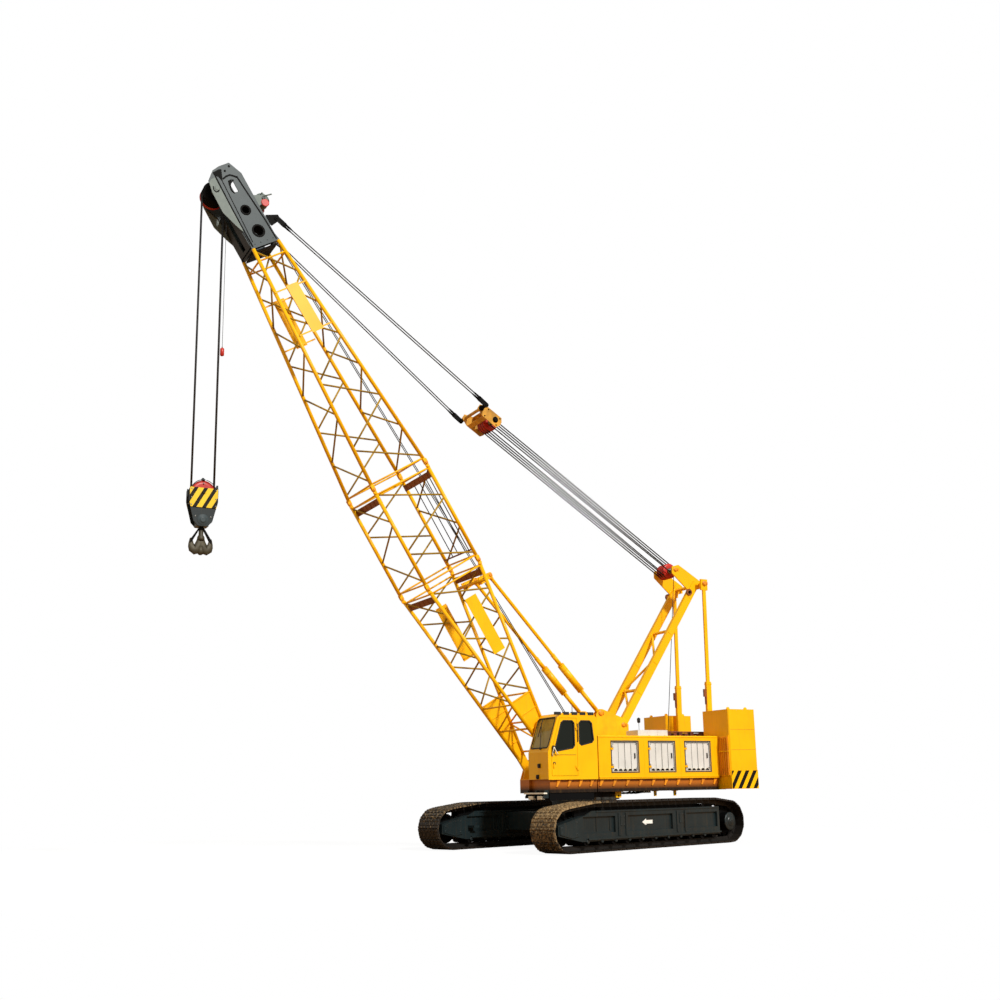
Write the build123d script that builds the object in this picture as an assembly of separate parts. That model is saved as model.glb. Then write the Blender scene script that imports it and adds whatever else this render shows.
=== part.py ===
"""Crawler crane with a lattice boom, all sizes in millimetres.

+Z is up, the front of the crane looks along -Y and its left side, with the cab, is +X. The upper works and the boom
are drawn about the slewing axis. The crawlers stand turned by track_turn below them. At the end everything is moved
along Y, so that the origin lies under the middle of the whole machine, on the ground.
"""

import os
from math import atan2, cos, degrees, hypot, pi, radians, sin

from build123d import *

# Running gear
track_turn = 15.4          # the crawlers' heading against the boom, degrees
track_long = 7800.0        # over the shoes
track_high = 1240.0
track_span = 5110.0        # outer edge to outer edge
shoe_wide = 830.0
shoe_count = 57
shoe_thick = 55.0
turn_flats = 8             # of the chain round each turn
shoe_groove = 34.0         # depth of the joint between two shoes
link_high = 105.0
link_wide = 300.0
idler_drop = 120.0         # how far the sloping run falls to the idler
idler_slope = 1000.0       # length of the sloping run behind the idler
drive_drop = 80.0          # and how far and how long it falls to the sprocket
drive_slope = 700.0
seat_gap = 0.3             # what stands or rolls on a neighbour stays this far from it
frame_wide = 700.0         # crawler side frame
frame_low = 370.0          # floor and roof of its box
frame_top = 890.0
skirt_low = 265.0          # its side plates reach further down and up
skirt_top = 1000.0
skirt_thick = 40.0
flange_wide = 50.0
flange_low = 300.0
flange_high = 40.0
frame_short = 520.0        # from the sprocket's axis to the end of the side frame
panel_deep = 60.0
roller_count = 11
roller_radius = 100.0
roller_in = 700.0          # from the idler's axis to the first roller
roller_out = 240.0         # from the last roller to the end of the side frame
carrier_radius = 70.0
carrier_count = 2
carrier_in = 340.0         # from the end of the sloping run to the first carrier roller
carrier_out = 1200.0       # from the last carrier roller to the sprocket's axis
sprocket_teeth = 10
lug_hole_radius = 35.0     # towing and lashing lugs on the side frames
lug_thick = 60.0
lug_half = 90.0
lug_reach = 200.0
lug_low = 560.0
lug_in, lug_out = 740.0, 400.0  # from the idler's axis and from the sprocket's

# Carbody and slewing ring
turret_radius = 900.0
turret_low = 520.0
axle_beam_wide = 420.0
axle_beam_low = 460.0
axle_beam_high = 480.0
axle_beam_place = 1050.0   # from the slewing axis, fore and aft
ring_radius = 980.0
ring_bore = 640.0
ring_low_high = 70.0
ring_teeth = 20

# Deck
deck_low = 1450.0
deck_top = 1810.0
girder_in = 640.0
girder_out = 860.0
deck_front = -2300.0
girder_front = -1500.0      # the right girder starts further back
walk_front = -1100.0
side_inset = 80.0          # the side beams stand this far inside the house and the cab
deck_rear = 4300.0
deck_side = 1600.0
side_beam = 110.0
skin = 20.0
house_front = -510.0
house_rear = 3500.0
house_top = 2930.0
house_in = 800.0
wall = 40.0
door_low = 1975.0
door_high = 780.0
door_long = 835.0
door_first = -80.0
door_pitch = 1220.0
door_gap = 8.0
door_thick = 35.0
hinge_out = 20.0           # hinge pins stand this far outside the skin
hinge_eye = 15.0
hinge_long = 55.0

# Cab
cab_in = 985.0
cab_out = 2005.0
cab_wall = 45.0
cab_front = -2300.0
cab_rear = -800.0
cab_high = 1664.0          # of the cab, above the deck's top
cab_rake = 340.0           # how far the windscreen leans back
cab_sill = 670.0           # where the raked screen starts, above the deck's top
glass = 6.0
glass_gap = 0.3

# Winches
drum_radius = 210.0
flange_radius = 390.0
flange_thick = 25.0
drum_half = 280.0
pedestal_thick = 30.0
axle_radius = 55.0

# Counterweight
weight_out = 2050.0
weight_in = 885.0
weight_front = 3560.0
weight_rear = 4510.0
tray_low = 1460.0
tray_top = 1970.0
slab_count = 3
slab_top = 3660.0

# Gantry
leg_side = 450.0           # middle of a leg from the centre plane
leg_wide = 120.0
leg_deep = 230.0
leg_foot_y, leg_foot_z = 1050.0, 3280.0
apex_y, apex_z = 3870.0, 7480.0
link_top_y = 4000.0         # the rear links hang behind the legs' heads
link_foot_y, link_foot_z = 3920.0, 2150.0
link_side = 730.0
link_wide_top = 60.0
cheek_thick = 30.0
cheek_gap = 5.0
head_thick = 12.0          # pin heads outside a cheek
block_y, block_z = 3180.0, 7900.0
pulley_radius = 230.0
pulley_wide = 60.0
pulley_count = 3

# Boom
boom_angle = 58.7          # above the horizontal, as it stands
foot_y, foot_z = -1270.0, 2055.0
boom_half = 854.0          # chord axis from the centre plane
boom_deep = 873.0          # chord axis from the middle of the depth
chord_radius = 51.0
lace_wide = 38.0
base_end = 5970.0
insert_end = 8920.0
top_end = 15930.0
head_half = 440.0
head_deep = 385.0
foot_radius = 150.0
foot_deep = 90.0
foot_chords = 420.0        # where the chords leave the foot lugs
foot_web = 2250.0
foot_thick = 90.0
foot_pin = 60.0
pin_play = 0.1
joint_half = 150.0         # from a section joint to the frame beside it
pin_radius = 30.0
tongue_thick = 40.0

# Boom head, along the boom and across it
head_plate = 28.0
sheave_out, sheave_d = 1790.0, -460.0  # the hoist sheaves: out from the top section's end, and off the boom's axis
sheave_radius = 270.0      # bottom of the rope groove
sheave_rim = 38.0
sheave_wide = 56.0
sheave_web = 8.0
head_sheaves = 4
jib_bore = 95.0            # pin hole of a jib through both cheeks
jib_out, jib_d = 1020.0, -40.0
hole_out = 400.0           # lightening hole behind it
slot_out, slot_long = 1540.0, 310.0
tip_out = 2330.0           # the tip of the cheeks
guide_out, guide_d = 1240.0, 720.0
guide_side = 190.0         # inner faces of the guide sheaves' bracket
guide_radius = 200.0
anchor_out, anchor_d = 550.0, 650.0

# Pendants and bail
bail_y, bail_z = -3280.0, 12030.0
bail_half = 500.0
bail_pin_half = 850.0
pendant_side = 800.0
link_plate = 30.0
pendant_radius = 17.0
pendant_apart = 70.0

# Backstops
stop_foot_y, stop_foot_z = 300.0, 3600.0
stop_t, stop_d = 5420.0, 1150.0
stop_tube = 50.0
stop_rod = 58.0
stop_sleeve = 95.0
stop_sleeve_from, stop_sleeve_to = 830.0, 1780.0
stop_guide_to = 2160.0     # the rod's tube guides the inner one this far
stop_eye_half = 55.0
stop_tail = 150.0          # how much of the inner tube stays in the sleeve at full reach

# Hook block and falls
fall_long = 8070.0         # from the head sheaves' axis to the block's
fall_radius = 13.0
block_half = 130.0
block_wide = 360.0         # half its width along Y
block_cheek = 25.0
block_low = 860.0          # from the block's axis down to the thrust face of the hook's shank
hook_drop = 920.0

left, right = 1, -1


def box(x, y, z):
    """A box from three pairs of limits."""
    return Pos((x[0] + x[1]) / 2, (y[0] + y[1]) / 2, (z[0] + z[1]) / 2) * Box(x[1] - x[0], y[1] - y[0], z[1] - z[0])


def side_plate(points, x0, x1):
    """A plate between x0 and x1 whose outline is a list of (y, z)."""
    return extrude(Plane.YZ.offset(x0) * make_face(Polyline(*points, close=True)), x1 - x0)


def bar(start, end, radius, sides=6):
    """A bar of so many flats between two points."""
    axis = Vector(*end) - Vector(*start)
    return extrude(Plane(origin=start, z_dir=axis) * RegularPolygon(radius, sides), axis.length)


def flat_bar(start, end, wide, deep):
    """A rectangular bar whose width lies along X."""
    axis = Vector(*end) - Vector(*start)
    plane = Plane(origin=start, x_dir=(1, 0, 0), z_dir=axis)
    return extrude(plane * Rectangle(wide, deep), axis.length)


def cross_shaft(x0, x1, y, z, radius, sides=0):
    """A shaft along X: round, or of so many flats where nothing turns on it."""
    face = RegularPolygon(radius, sides) if sides else Circle(radius)
    return extrude(Plane.YZ.offset(min(x0, x1)) * Pos(y, z) * face, abs(x1 - x0))


def both_ways(side, near, far):
    """The pair of X limits from near to far on one side of the crane."""
    return sorted((side * near, side * far))


def mirrored(shape):
    return mirror(shape, Plane.YZ)


def fused(shapes):
    return shapes[0] + shapes[1:]


# Crawlers: sizes that follow from the ones above
track_middle = (track_span - shoe_wide) / 2
rear_radius = (track_high - drive_drop) / 2
front_radius = (track_high - idler_drop) / 2
rear_centre = track_long / 2 - rear_radius
front_centre = -track_long / 2 + front_radius
band = shoe_thick + link_high
frame_rear = rear_centre - frame_short
lug_places = (front_centre + lug_in, rear_centre - lug_out)


def spread(first, last, count):
    return [first + i * (last - first) / (count - 1) for i in range(count)]



slope_end = front_centre + idler_slope
slope_start = rear_centre - drive_slope
runs = (rear_centre - front_centre, pi * rear_radius, hypot(drive_slope, drive_drop), slope_start - slope_end,
        hypot(idler_slope, idler_drop), pi * front_radius)
loop_long = sum(runs)


def inside(radius):
    """Radius of the wheel that fits the chain on the turn of this outer radius."""
    return (radius - band) * cos(pi / turn_flats / 2) - seat_gap


def loop_point(s, inset):
    """A point (y, z) of the track at the share s of its way round, moved in by inset."""
    bottom, rear, fall, top, ramp, front = runs
    way = s * loop_long
    if way < bottom:
        return front_centre + way, inset
    way -= bottom
    if way < rear:
        a = way / rear_radius - pi / 2
        r = rear_radius - inset
        return rear_centre + r * cos(a), rear_radius + r * sin(a)
    way -= rear
    if way < fall:
        share = way / fall
        return rear_centre - drive_slope * share, track_high - drive_drop * (1 - share) - inset
    way -= fall
    if way < top:
        return slope_start - way, track_high - inset
    way -= top
    if way < ramp:
        share = way / ramp
        return slope_end - idler_slope * share, track_high - idler_drop * share - inset
    way -= ramp
    a = way / front_radius + pi / 2
    r = front_radius - inset
    return front_centre + r * cos(a), front_radius + r * sin(a)


def loop_line(inset):
    """The loop's corners at this inset, with turn_flats flats to each turn."""
    bottom, rear, fall, top, ramp, front = runs
    ways = [bottom + rear * i / turn_flats for i in range(turn_flats + 1)] + [bottom + rear + fall]
    ways += [loop_long - front - ramp] + [loop_long - front + front * i / turn_flats for i in range(turn_flats + 1)]
    return [loop_point(min(way / loop_long, 0.999999), inset) for way in ways]


def ring_face(outer, inner):
    return make_face(Polyline(*outer, close=True)) - make_face(Polyline(*inner, close=True))


def track(side):
    """One fixed loop: the shoes with a groove between each two, on a narrower chain."""
    half_gap = 0.06
    outer = []
    for i in range(shoe_count):
        outer.append(loop_point((i + half_gap) / shoe_count, 0))
        outer.append(loop_point((i + 1 - half_gap) / shoe_count, 0))
        outer.append(loop_point((i + 0.999) / shoe_count, shoe_groove))
    ring = loop_line(shoe_thick)
    shoes = extrude(Plane.YZ.offset(-shoe_wide / 2) * ring_face(outer, ring), shoe_wide)
    chain = extrude(Plane.YZ.offset(-link_wide / 2) * ring_face(ring, loop_line(band)), link_wide)
    return Pos(side * track_middle, 0, 0) * (shoes + chain)


def crawler_frame(side):
    """Box beam between deep side plates, with sunk panels, an idler fork in front and the final drive behind."""
    half = frame_wide / 2
    within = half - skirt_thick
    outline = [(front_centre - 330, 430), (front_centre - 330, 680), (front_centre + 620, skirt_top - 110),
               (front_centre + 900, skirt_top), (frame_rear, skirt_top), (frame_rear, skirt_low),
               (front_centre + 520, skirt_low)]
    beam = side_plate(outline, -half, half)
    beam -= box((-95, 95), (front_centre - 700, front_centre + 480), (0, track_high))
    beam -= box((-within, within), (front_centre + 480, frame_rear - skirt_thick), (0, frame_low))
    beam -= box((-within, within), (front_centre - 700, frame_rear + 1), (frame_top, track_high))
    # the sunk panels: (start, end) along the frame
    for start, end in ((front_centre + 560, front_centre + 1760), (front_centre + 2260, frame_rear - 2070),
                       (frame_rear - 1610, frame_rear - 100)):
        for x in ((half - panel_deep, half + 1), (-half - 1, -half + panel_deep)):
            beam -= box(x, (start, end), (frame_low + 90, frame_top - 30))
    for x in ((half, half + flange_wide), (-half - flange_wide, -half)):
        beam += box(x, (front_centre + 700, frame_rear), (flange_low, flange_low + flange_high))
    inner = -side
    drive_plate = side_plate([(frame_rear - 300, frame_low + 60), (rear_centre + 60, 330), (rear_centre + 300, 450),
                              (rear_centre + 300, 760), (rear_centre + 60, skirt_top - 50), (frame_rear - 300, skirt_top - 50)],
                             *both_ways(inner, half - 100, half))
    drive = cross_shaft(inner * (half - 100), inner * (half + 110), rear_centre, rear_radius, 270, 12)
    beam += [drive_plate, drive]
    # lashing lugs at both ends of the inner side, each with an upright hole
    for y in lug_places:
        lug = box(both_ways(inner, half - panel_deep - 5, half + lug_reach), (y - lug_half, y + lug_half),
                  (lug_low, lug_low + lug_thick))
        hole = Pos(inner * (half + lug_reach - lug_half), y, lug_low + lug_thick / 2) * Cylinder(
            lug_hole_radius, 2 * lug_thick)
        beam += lug
        beam -= hole
    return Pos(side * track_middle, 0, 0) * beam


def rollers(side):
    """Bottom and carrier rollers, which run from one side plate of the frame to the other."""
    within = frame_wide / 2 - skirt_thick
    made = [cross_shaft(-within, within, y, band + roller_radius, roller_radius - seat_gap, 8)
            for y in spread(front_centre + roller_in, frame_rear - roller_out, roller_count)]
    made += [cross_shaft(-within, within, y, track_high - band - carrier_radius, carrier_radius - seat_gap, 8)
             for y in spread(slope_end + carrier_in, rear_centre - carrier_out, carrier_count)]
    return [Pos(side * track_middle, 0, 0) * m for m in made]


def idler(side):
    """Front idler: a rim with two sunk faces, and its hub between the arms of the fork."""
    r = front_radius - band - seat_gap
    wheel = cross_shaft(-75, 75, 0, 0, r, 2 * turn_flats)
    for face in (left, right):
        wheel -= cross_shaft(face * 35, face * 80, 0, 0, r - 70, 10)
    wheel += cross_shaft(-95, 95, 0, 0, 120, 8)
    return Pos(side * track_middle, front_centre, front_radius) * wheel


def sprocket(side):
    """Rear driving wheel with its teeth, the drive's flange inside and a hub cover outside."""
    tip = inside(rear_radius)
    root = tip - 70
    points = []
    step = 2 * pi / sprocket_teeth
    for i in range(sprocket_teeth):
        for share, r in ((0.0, root), (0.3, root), (0.42, tip), (0.88, tip)):
            a = (i + share) * step
            points.append((r * cos(a), r * sin(a)))
    wheel = extrude(Plane.YZ.offset(-90) * make_face(Polyline(*points, close=True)), 180)
    hub_in = cross_shaft(0, -side * (frame_wide / 2 - 100), 0, 0, 200, 8)
    hub_out = cross_shaft(0, side * (frame_wide / 2 - 30), 0, 0, 250, 12)
    return Pos(side * track_middle, rear_centre, rear_radius) * (wheel + [hub_in, hub_out])


def carbody():
    """Round turret on two deep cross beams that reach the crawler frames."""
    reach = track_middle - frame_wide / 2
    body = Pos(0, 0, turret_low) * extrude(RegularPolygon(turret_radius, 32), track_high - turret_low)
    beams = []
    for y in (-axle_beam_place, axle_beam_place):
        beams.append(box((-reach, reach), (y - axle_beam_wide / 2, y + axle_beam_wide / 2),
                         (axle_beam_low, axle_beam_low + axle_beam_high)))
        for side in (left, right):
            beams.append(box(both_ways(side, reach - 40, reach), (y - 330, y + 330),
                             (flange_low + flange_high + 50, axle_beam_low + axle_beam_high - 60)))
    spine = box((-620, 620), (-axle_beam_place, axle_beam_place), (axle_beam_low, track_high - 160))
    body += [*beams, spine]
    return body


def slewing_ring():
    """Toothed outer ring, bolted to the turret."""
    points = []
    step = 2 * pi / ring_teeth
    for i in range(ring_teeth):
        for share, r in ((0.1, ring_radius - 40), (0.3, ring_radius), (0.7, ring_radius), (0.9, ring_radius - 40)):
            a = (i + share) * step
            points.append((r * cos(a), r * sin(a)))
    ring = extrude(make_face(Polyline(*points, close=True)) - RegularPolygon(ring_bore, 16), ring_low_high)
    return Pos(0, 0, track_high) * ring


def turned(shape):
    if isinstance(shape, list):
        return [Rot(0, 0, track_turn) * s for s in shape]
    return Rot(0, 0, track_turn) * shape


# Deck
drums = ((250.0, 2420.0), (1500.0, 2420.0), (2650.0, 2710.0))  # (y, z) of each drum's axle


def deck():
    """Two box girders, cross members, side beams under the houses, boom foot brackets and winch pedestals."""
    within = deck_side - side_inset
    made = [box((girder_in, girder_out), (deck_front, deck_rear), (deck_low, deck_top)),
            box((-girder_out, -girder_in), (girder_front, deck_rear), (deck_low, deck_top)),
            box((500, cab_in), (deck_front, deck_front + 180), (deck_low, deck_top)),
            box((-girder_in, girder_in), (house_front, house_rear), (deck_top - skin, deck_top))]
    # cross members from side beam to side beam: y of each
    for y in (house_front, 900.0, 2200.0, house_rear - 150):
        made.append(box((-within, within), (y, y + 150), (deck_low + 60, deck_top)))
    for side in (left, right):
        made.append(box(both_ways(side, within - side_beam, within), (house_front, house_rear), (deck_low, deck_top)))
        made.append(box(both_ways(side, girder_out, deck_side), (house_front, house_rear), (deck_top - skin, deck_top)))
    # cab platform: outer, front and rear beams and a floor
    out = cab_out - side_inset
    made.append(box((out - side_beam, out), (cab_front + side_inset, cab_rear), (deck_low, deck_top)))
    made.append(box((girder_out, out), (cab_front + side_inset, cab_front + side_inset + 150), (deck_low, deck_top)))
    made.append(box((girder_out, out), (cab_rear - 150, cab_rear), (deck_low, deck_top)))
    made.append(box((girder_out, cab_out), (cab_front, cab_rear), (deck_top - skin, deck_top)))
    # right walkway in front of the house
    made.append(box((-deck_side, -girder_out), (walk_front, house_front), (deck_top - 2 * skin, deck_top)))
    made.append(box((-within, -within + side_beam), (walk_front, house_front), (deck_low, deck_top)))
    made.append(box((-within, -girder_out), (walk_front, walk_front + 150), (deck_low, deck_top)))
    # upper race of the slewing ring, with its plate between the girders
    race_low = track_high + ring_low_high + seat_gap
    race_face = RegularPolygon(ring_radius - 30, 24)
    made.append(Pos(0, 0, race_low) * extrude(race_face - RegularPolygon(ring_bore, 16), deck_low - race_low))
    made.append(Pos(0, 0, deck_low) * extrude(race_face, 60))
    # boom foot brackets: two cheeks each side of the boom's foot lug, and the pin
    cheek = [(foot_y - 230, deck_top), (foot_y - foot_radius, foot_z), (foot_y - 90, foot_z + 130),
             (foot_y + 90, foot_z + 130), (foot_y + foot_radius, foot_z), (foot_y + 420, deck_top)]
    for side in (left, right):
        for middle in (boom_half - foot_thick / 2 - cheek_gap - cheek_thick / 2,
                       boom_half + foot_thick / 2 + cheek_gap + cheek_thick / 2):
            x = side * middle
            made.append(side_plate(cheek, x - cheek_thick / 2, x + cheek_thick / 2))
        edge = boom_half + foot_thick / 2 + cheek_gap + cheek_thick
        made.append(cross_shaft(side * (boom_half - foot_thick / 2 - cheek_gap),
                                side * (boom_half + foot_thick / 2 + cheek_gap), foot_y, foot_z, foot_pin))
        made.append(cross_shaft(side * (edge - 5), side * (edge + head_thick), foot_y, foot_z, foot_pin + 15, 6))
        made.append(box(both_ways(side, girder_out, edge), (foot_y - 230, foot_y + 420), (deck_low + 100, deck_top)))
    # winch pedestals
    for y, z in drums:
        outline = [(y - 330, deck_top), (y - 110, z + 60), (y + 110, z + 60), (y + 330, deck_top)]
        for side in (left, right):
            start = drum_half + flange_thick + 15
            made.append(side_plate(outline, *both_ways(side, start, start + pedestal_thick)))
    # gantry brackets: a pair of cheeks each side that hold the leg's foot and, further forward, the backstop's
    bracket = [(stop_foot_y - 180, deck_top), (stop_foot_y - 150, stop_foot_z - 40), (stop_foot_y - 40, stop_foot_z + 110),
               (stop_foot_y + 60, stop_foot_z + 110), (leg_foot_y + 60, leg_foot_z + 170),
               (leg_foot_y + 170, leg_foot_z), (leg_foot_y + 170, deck_top)]
    for side in (left, right):
        for face in (left, right):
            x = side * leg_side + face * leg_wide / 2
            made.append(side_plate(bracket, *sorted((x, x + face * cheek_thick))))
            made.append(cross_shaft(x + face * (cheek_thick - 5), x + face * (cheek_thick + head_thick),
                                    leg_foot_y, leg_foot_z, 60, 6))
        # tail brackets of the gantry's rear links, on the girders
        for face in (left, right):
            x = side * link_side + face * link_wide_top / 2
            made.append(side_plate([(link_foot_y - 170, deck_top), (link_foot_y - 90, link_foot_z + 90),
                                    (link_foot_y + 90, link_foot_z + 90), (link_foot_y + 170, deck_top)],
                                   *sorted((x, x + face * cheek_thick))))
    return fused(made)


def hinge(edge, z, way, skin_x):
    """The leaf's half and the body's half of a hinge, one knuckle over the other.

    The leaf lies on the way side of its edge.
    """
    pin_x, pin_y = skin_x + hinge_out, edge + way * hinge_out

    def knuckle(low, high):
        return Pos(pin_x, pin_y, low) * extrude(RegularPolygon(hinge_eye, 6), high - low)

    strap = box((skin_x - 5, pin_x), sorted((pin_y - way * 6, pin_y + way * 45)), (z, z + hinge_long))
    shoulder = pin_y - way * (hinge_out + door_gap + 5)
    plan = [(pin_x, pin_y), (pin_x - 10, pin_y), (pin_x - 10, shoulder), (skin_x - 5, shoulder),
            (skin_x - 5, pin_y - way * 60), (pin_x, pin_y - way * 60)]
    low = z - hinge_long
    arm = Pos(0, 0, low) * extrude(make_face(Polyline(*plan, close=True)), hinge_long - seat_gap)
    return knuckle(z, z + hinge_long) + strap, knuckle(low, z - seat_gap) + arm


def door_starts():
    return [door_first + i * door_pitch for i in range(3)]


house_hinges = (door_low + 150, door_low + door_high - 150)
cab_roof = deck_top + cab_high
cab_hinges = (deck_top + 260, cab_roof - 380)


def house(side):
    """Machine house over one side beam: walls and roof of one thickness, with three door openings."""
    x0, x1 = sorted((side * house_in, side * deck_side))
    outer = box((x0, x1), (house_front, house_rear), (deck_top, house_top))
    outer = chamfer(outer.edges().filter_by(Axis.Y).group_by(Axis.Z)[-1], 25)
    inside = box((x0 + wall, x1 - wall), (house_front + wall, house_rear - wall), (deck_top - 1, house_top - wall))
    shell = outer - inside
    for y in door_starts():
        x0, x1 = sorted((side * (deck_side - wall - 5), side * (deck_side + 5)))
        shell -= box((x0, x1), (y - door_gap, y + door_long + door_gap), (door_low - door_gap,
                                                                       door_low + door_high + door_gap))
        brackets = [hinge(y, z, 1, deck_side)[1] for z in house_hinges]
        shell += brackets if side == left else [mirrored(b) for b in brackets]
    return shell


def house_door(side, start):
    """Door leaf with sunk panels, one of half its length and two of a quarter, and its two hinge knuckles."""
    leaf = box((deck_side - door_thick, deck_side), (start, start + door_long), (door_low, door_low + door_high))
    rim = 22.0
    for share_a, share_b in ((0.0, 0.5), (0.5, 0.75), (0.75, 1.0)):
        y0, y1 = (start + rim + share * (door_long - rim) for share in (share_a, share_b))
        leaf -= box((deck_side - 12, deck_side + 1), (y0, y1 - rim), (door_low + rim, door_low + door_high - rim))
    door = leaf + [hinge(start, z, 1, deck_side)[0] for z in house_hinges]
    return door if side == left else mirrored(door)


cab_knee = deck_top + cab_sill


def cab_outline(inset=0.0):
    """Side view of the cab as a face: upright nose, raked windscreen, roof with cut corners."""
    cut = 110.0
    points = ((cab_rear, deck_top), (cab_rear, cab_roof - cut), (cab_rear - cut, cab_roof),
              (cab_front + cab_rake + cut, cab_roof), (cab_front + cab_rake * (1 - cut / (cab_roof - cab_knee)), cab_roof - cut),
              (cab_front, cab_knee), (cab_front, deck_top))
    face = make_face(Polyline(*points, close=True))
    return offset(face, -inset, kind=Kind.INTERSECTION) if inset else face


door_rear = cab_rear - 620
door_head = cab_roof - 130
pane_head = cab_roof - 195
door_edge = ((cab_front + 110, deck_top + 70), (cab_front + 110, cab_knee + 20), (cab_front + 375, door_head),
             (door_rear, door_head), (door_rear, deck_top + 70))
door_pane = ((cab_front + 190, cab_knee + 10), (cab_front + 430, pane_head), (door_rear - 75, pane_head),
             (door_rear - 75, cab_knee + 110))
rear_pane = ((door_rear + 80, cab_knee + 160), (door_rear + 80, pane_head), (cab_rear - 160, pane_head),
             (cab_rear - 100, cab_knee + 260))


def pane(points, grow=0.0):
    face = chamfer(make_face(Polyline(*points, close=True)).vertices(), 45)
    return offset(face, grow, kind=Kind.INTERSECTION) if grow else face


def cab_shell():
    """Hollow cab of one wall, with the door way and every window cut."""
    plane = Plane.YZ
    shell = extrude(plane.offset(cab_in) * cab_outline(), cab_out - cab_in)
    shell -= extrude(plane.offset(cab_in + cab_wall) * cab_outline(cab_wall), cab_out - cab_in - 2 * cab_wall)
    way = offset(make_face(Polyline(*door_edge, close=True)), door_gap, kind=Kind.INTERSECTION)
    shell -= extrude(plane.offset(cab_out - cab_wall - 5) * way, cab_wall + 10)
    shell -= extrude(plane.offset(cab_in - 5) * pane(rear_pane), cab_out - cab_in + 10)
    shell -= extrude(plane.offset(cab_in - 5) * pane(door_pane), cab_wall + 10)
    shell -= windscreen(0, 140)
    shell -= rear_window(0, 100)
    return shell + [hinge(door_rear, z, -1, cab_out)[1] for z in cab_hinges]


def windscreen(shrink, thick):
    """The raked front pane, square to its own plane."""
    low = Vector(0, cab_front, cab_knee)
    high = Vector(0, cab_front + cab_rake, cab_roof)
    way = high - low
    plane = Plane(origin=((cab_in + cab_out) / 2, (low.Y + high.Y) / 2, (low.Z + high.Z) / 2), x_dir=(1, 0, 0),
                  z_dir=way.cross(Vector(1, 0, 0)))
    face = chamfer(Rectangle(cab_out - cab_in - 150 - 2 * shrink, way.length - 230 - 2 * shrink).vertices(), 45)
    return extrude(plane.offset(cab_wall / 2) * face, thick / 2, both=True)


def rear_window(shrink, thick):
    face = chamfer(Rectangle(cab_out - cab_in - 260 - 2 * shrink, 560 - 2 * shrink).vertices(), 45)
    plane = Plane(origin=((cab_in + cab_out) / 2, cab_rear - cab_wall / 2, cab_roof - 500), z_dir=(0, 1, 0))
    return extrude(plane * face, thick / 2, both=True)


def cab_glass():
    g = glass_gap
    middle = cab_wall / 2 + glass / 2
    panes = [windscreen(g, glass), rear_window(g, glass)]
    panes.append(extrude(Plane.YZ.offset(cab_out - middle) * pane(rear_pane, -g), glass))
    panes.append(extrude(Plane.YZ.offset(cab_in + middle - glass) * pane(rear_pane, -g), glass))
    panes.append(extrude(Plane.YZ.offset(cab_in + middle - glass) * pane(door_pane, -g), glass))
    return panes


def cab_door():
    leaf = extrude(Plane.YZ.offset(cab_out - cab_wall) * make_face(Polyline(*door_edge, close=True)), cab_wall)
    leaf -= extrude(Plane.YZ.offset(cab_out - cab_wall - 5) * pane(door_pane), cab_wall + 10)
    handle = box((cab_out - 1, cab_out + 30), (cab_front + 150, cab_front + 180),
                 (deck_top + 270, deck_top + 390))
    knuckles = [hinge(door_rear, z, -1, cab_out)[0] for z in cab_hinges]
    return leaf + [handle, *knuckles]


def cab_door_glass():
    return extrude(Plane.YZ.offset(cab_out - cab_wall / 2 - glass / 2) * pane(door_pane, -glass_gap), glass)


seat_y = cab_rear - 320.0


def operator_seat():
    """Seat on its pedestal."""
    x = (cab_in + cab_out) / 2
    base = box((x - 180, x + 180), (seat_y - 380, seat_y), (deck_top + cab_wall, deck_top + 420))
    cushion = box((x - 250, x + 250), (seat_y - 520, seat_y), (deck_top + 420, deck_top + 540))
    back = side_plate([(seat_y - 40, deck_top + 500), (seat_y + 70, deck_top + 1180), (seat_y + 160, deck_top + 1180),
                       (seat_y + 80, deck_top + 440)], x - 240, x + 240)
    return base + [cushion, back]


def control_stand():
    x = (cab_in + cab_out) / 2
    foot = box((x - 300, x + 300), (cab_front + 130, cab_front + 330), (deck_top + cab_wall, deck_top + 700))
    levers = [box((x + dx - 12, x + dx + 12), (cab_front + 250, cab_front + 274), (deck_top + 700, deck_top + 900))
              for dx in (-200, 200)]
    return foot + levers


def engine_block():
    return box((-deck_side + 180, -house_in - 120), (700, 2350), (deck_top, deck_top + 820))


def fuel_tank():
    tank = box((-deck_side + 40, -girder_out - 120), (walk_front + 60, house_front - 50), (deck_top, deck_top + 560))
    return chamfer(tank.edges().filter_by(Axis.Z), 50)


def roof_box():
    """Low air box on the left roof and the silencer with its pipe on the right one."""
    low = box((house_in + 120, deck_side - 120), (870, 1870), (house_top, house_top + 150))
    silencer = box((-deck_side + 200, -house_in - 160), (1100, 1900), (house_top, house_top + 240))
    pipe = Pos(-deck_side + 350, 1500, house_top + 240) * extrude(RegularPolygon(60, 8), 420)
    return [low, silencer + pipe]


def winch_drums():
    """Drums between two flanges each, on axles that end at the pedestals."""
    made = []
    reach = drum_half + flange_thick + 15
    for y, z in drums:
        drum = cross_shaft(-drum_half, drum_half, y, z, drum_radius, 8)
        drum += [cross_shaft(face * drum_half, face * (drum_half + flange_thick), y, z, flange_radius, 10)
                 for face in (left, right)]
        made.append(drum + cross_shaft(-reach, reach, y, z, axle_radius, 6))
    return made


def counterweight_tray():
    """Base slab, hung behind the deck, with a cross beam between its two wings."""
    wing = box((weight_in, weight_out), (weight_front, weight_rear), (tray_low, tray_top))
    beam = box((-weight_out, weight_out), (deck_rear, weight_rear), (tray_low, tray_top))
    return wing + [mirrored(wing), beam]


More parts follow.
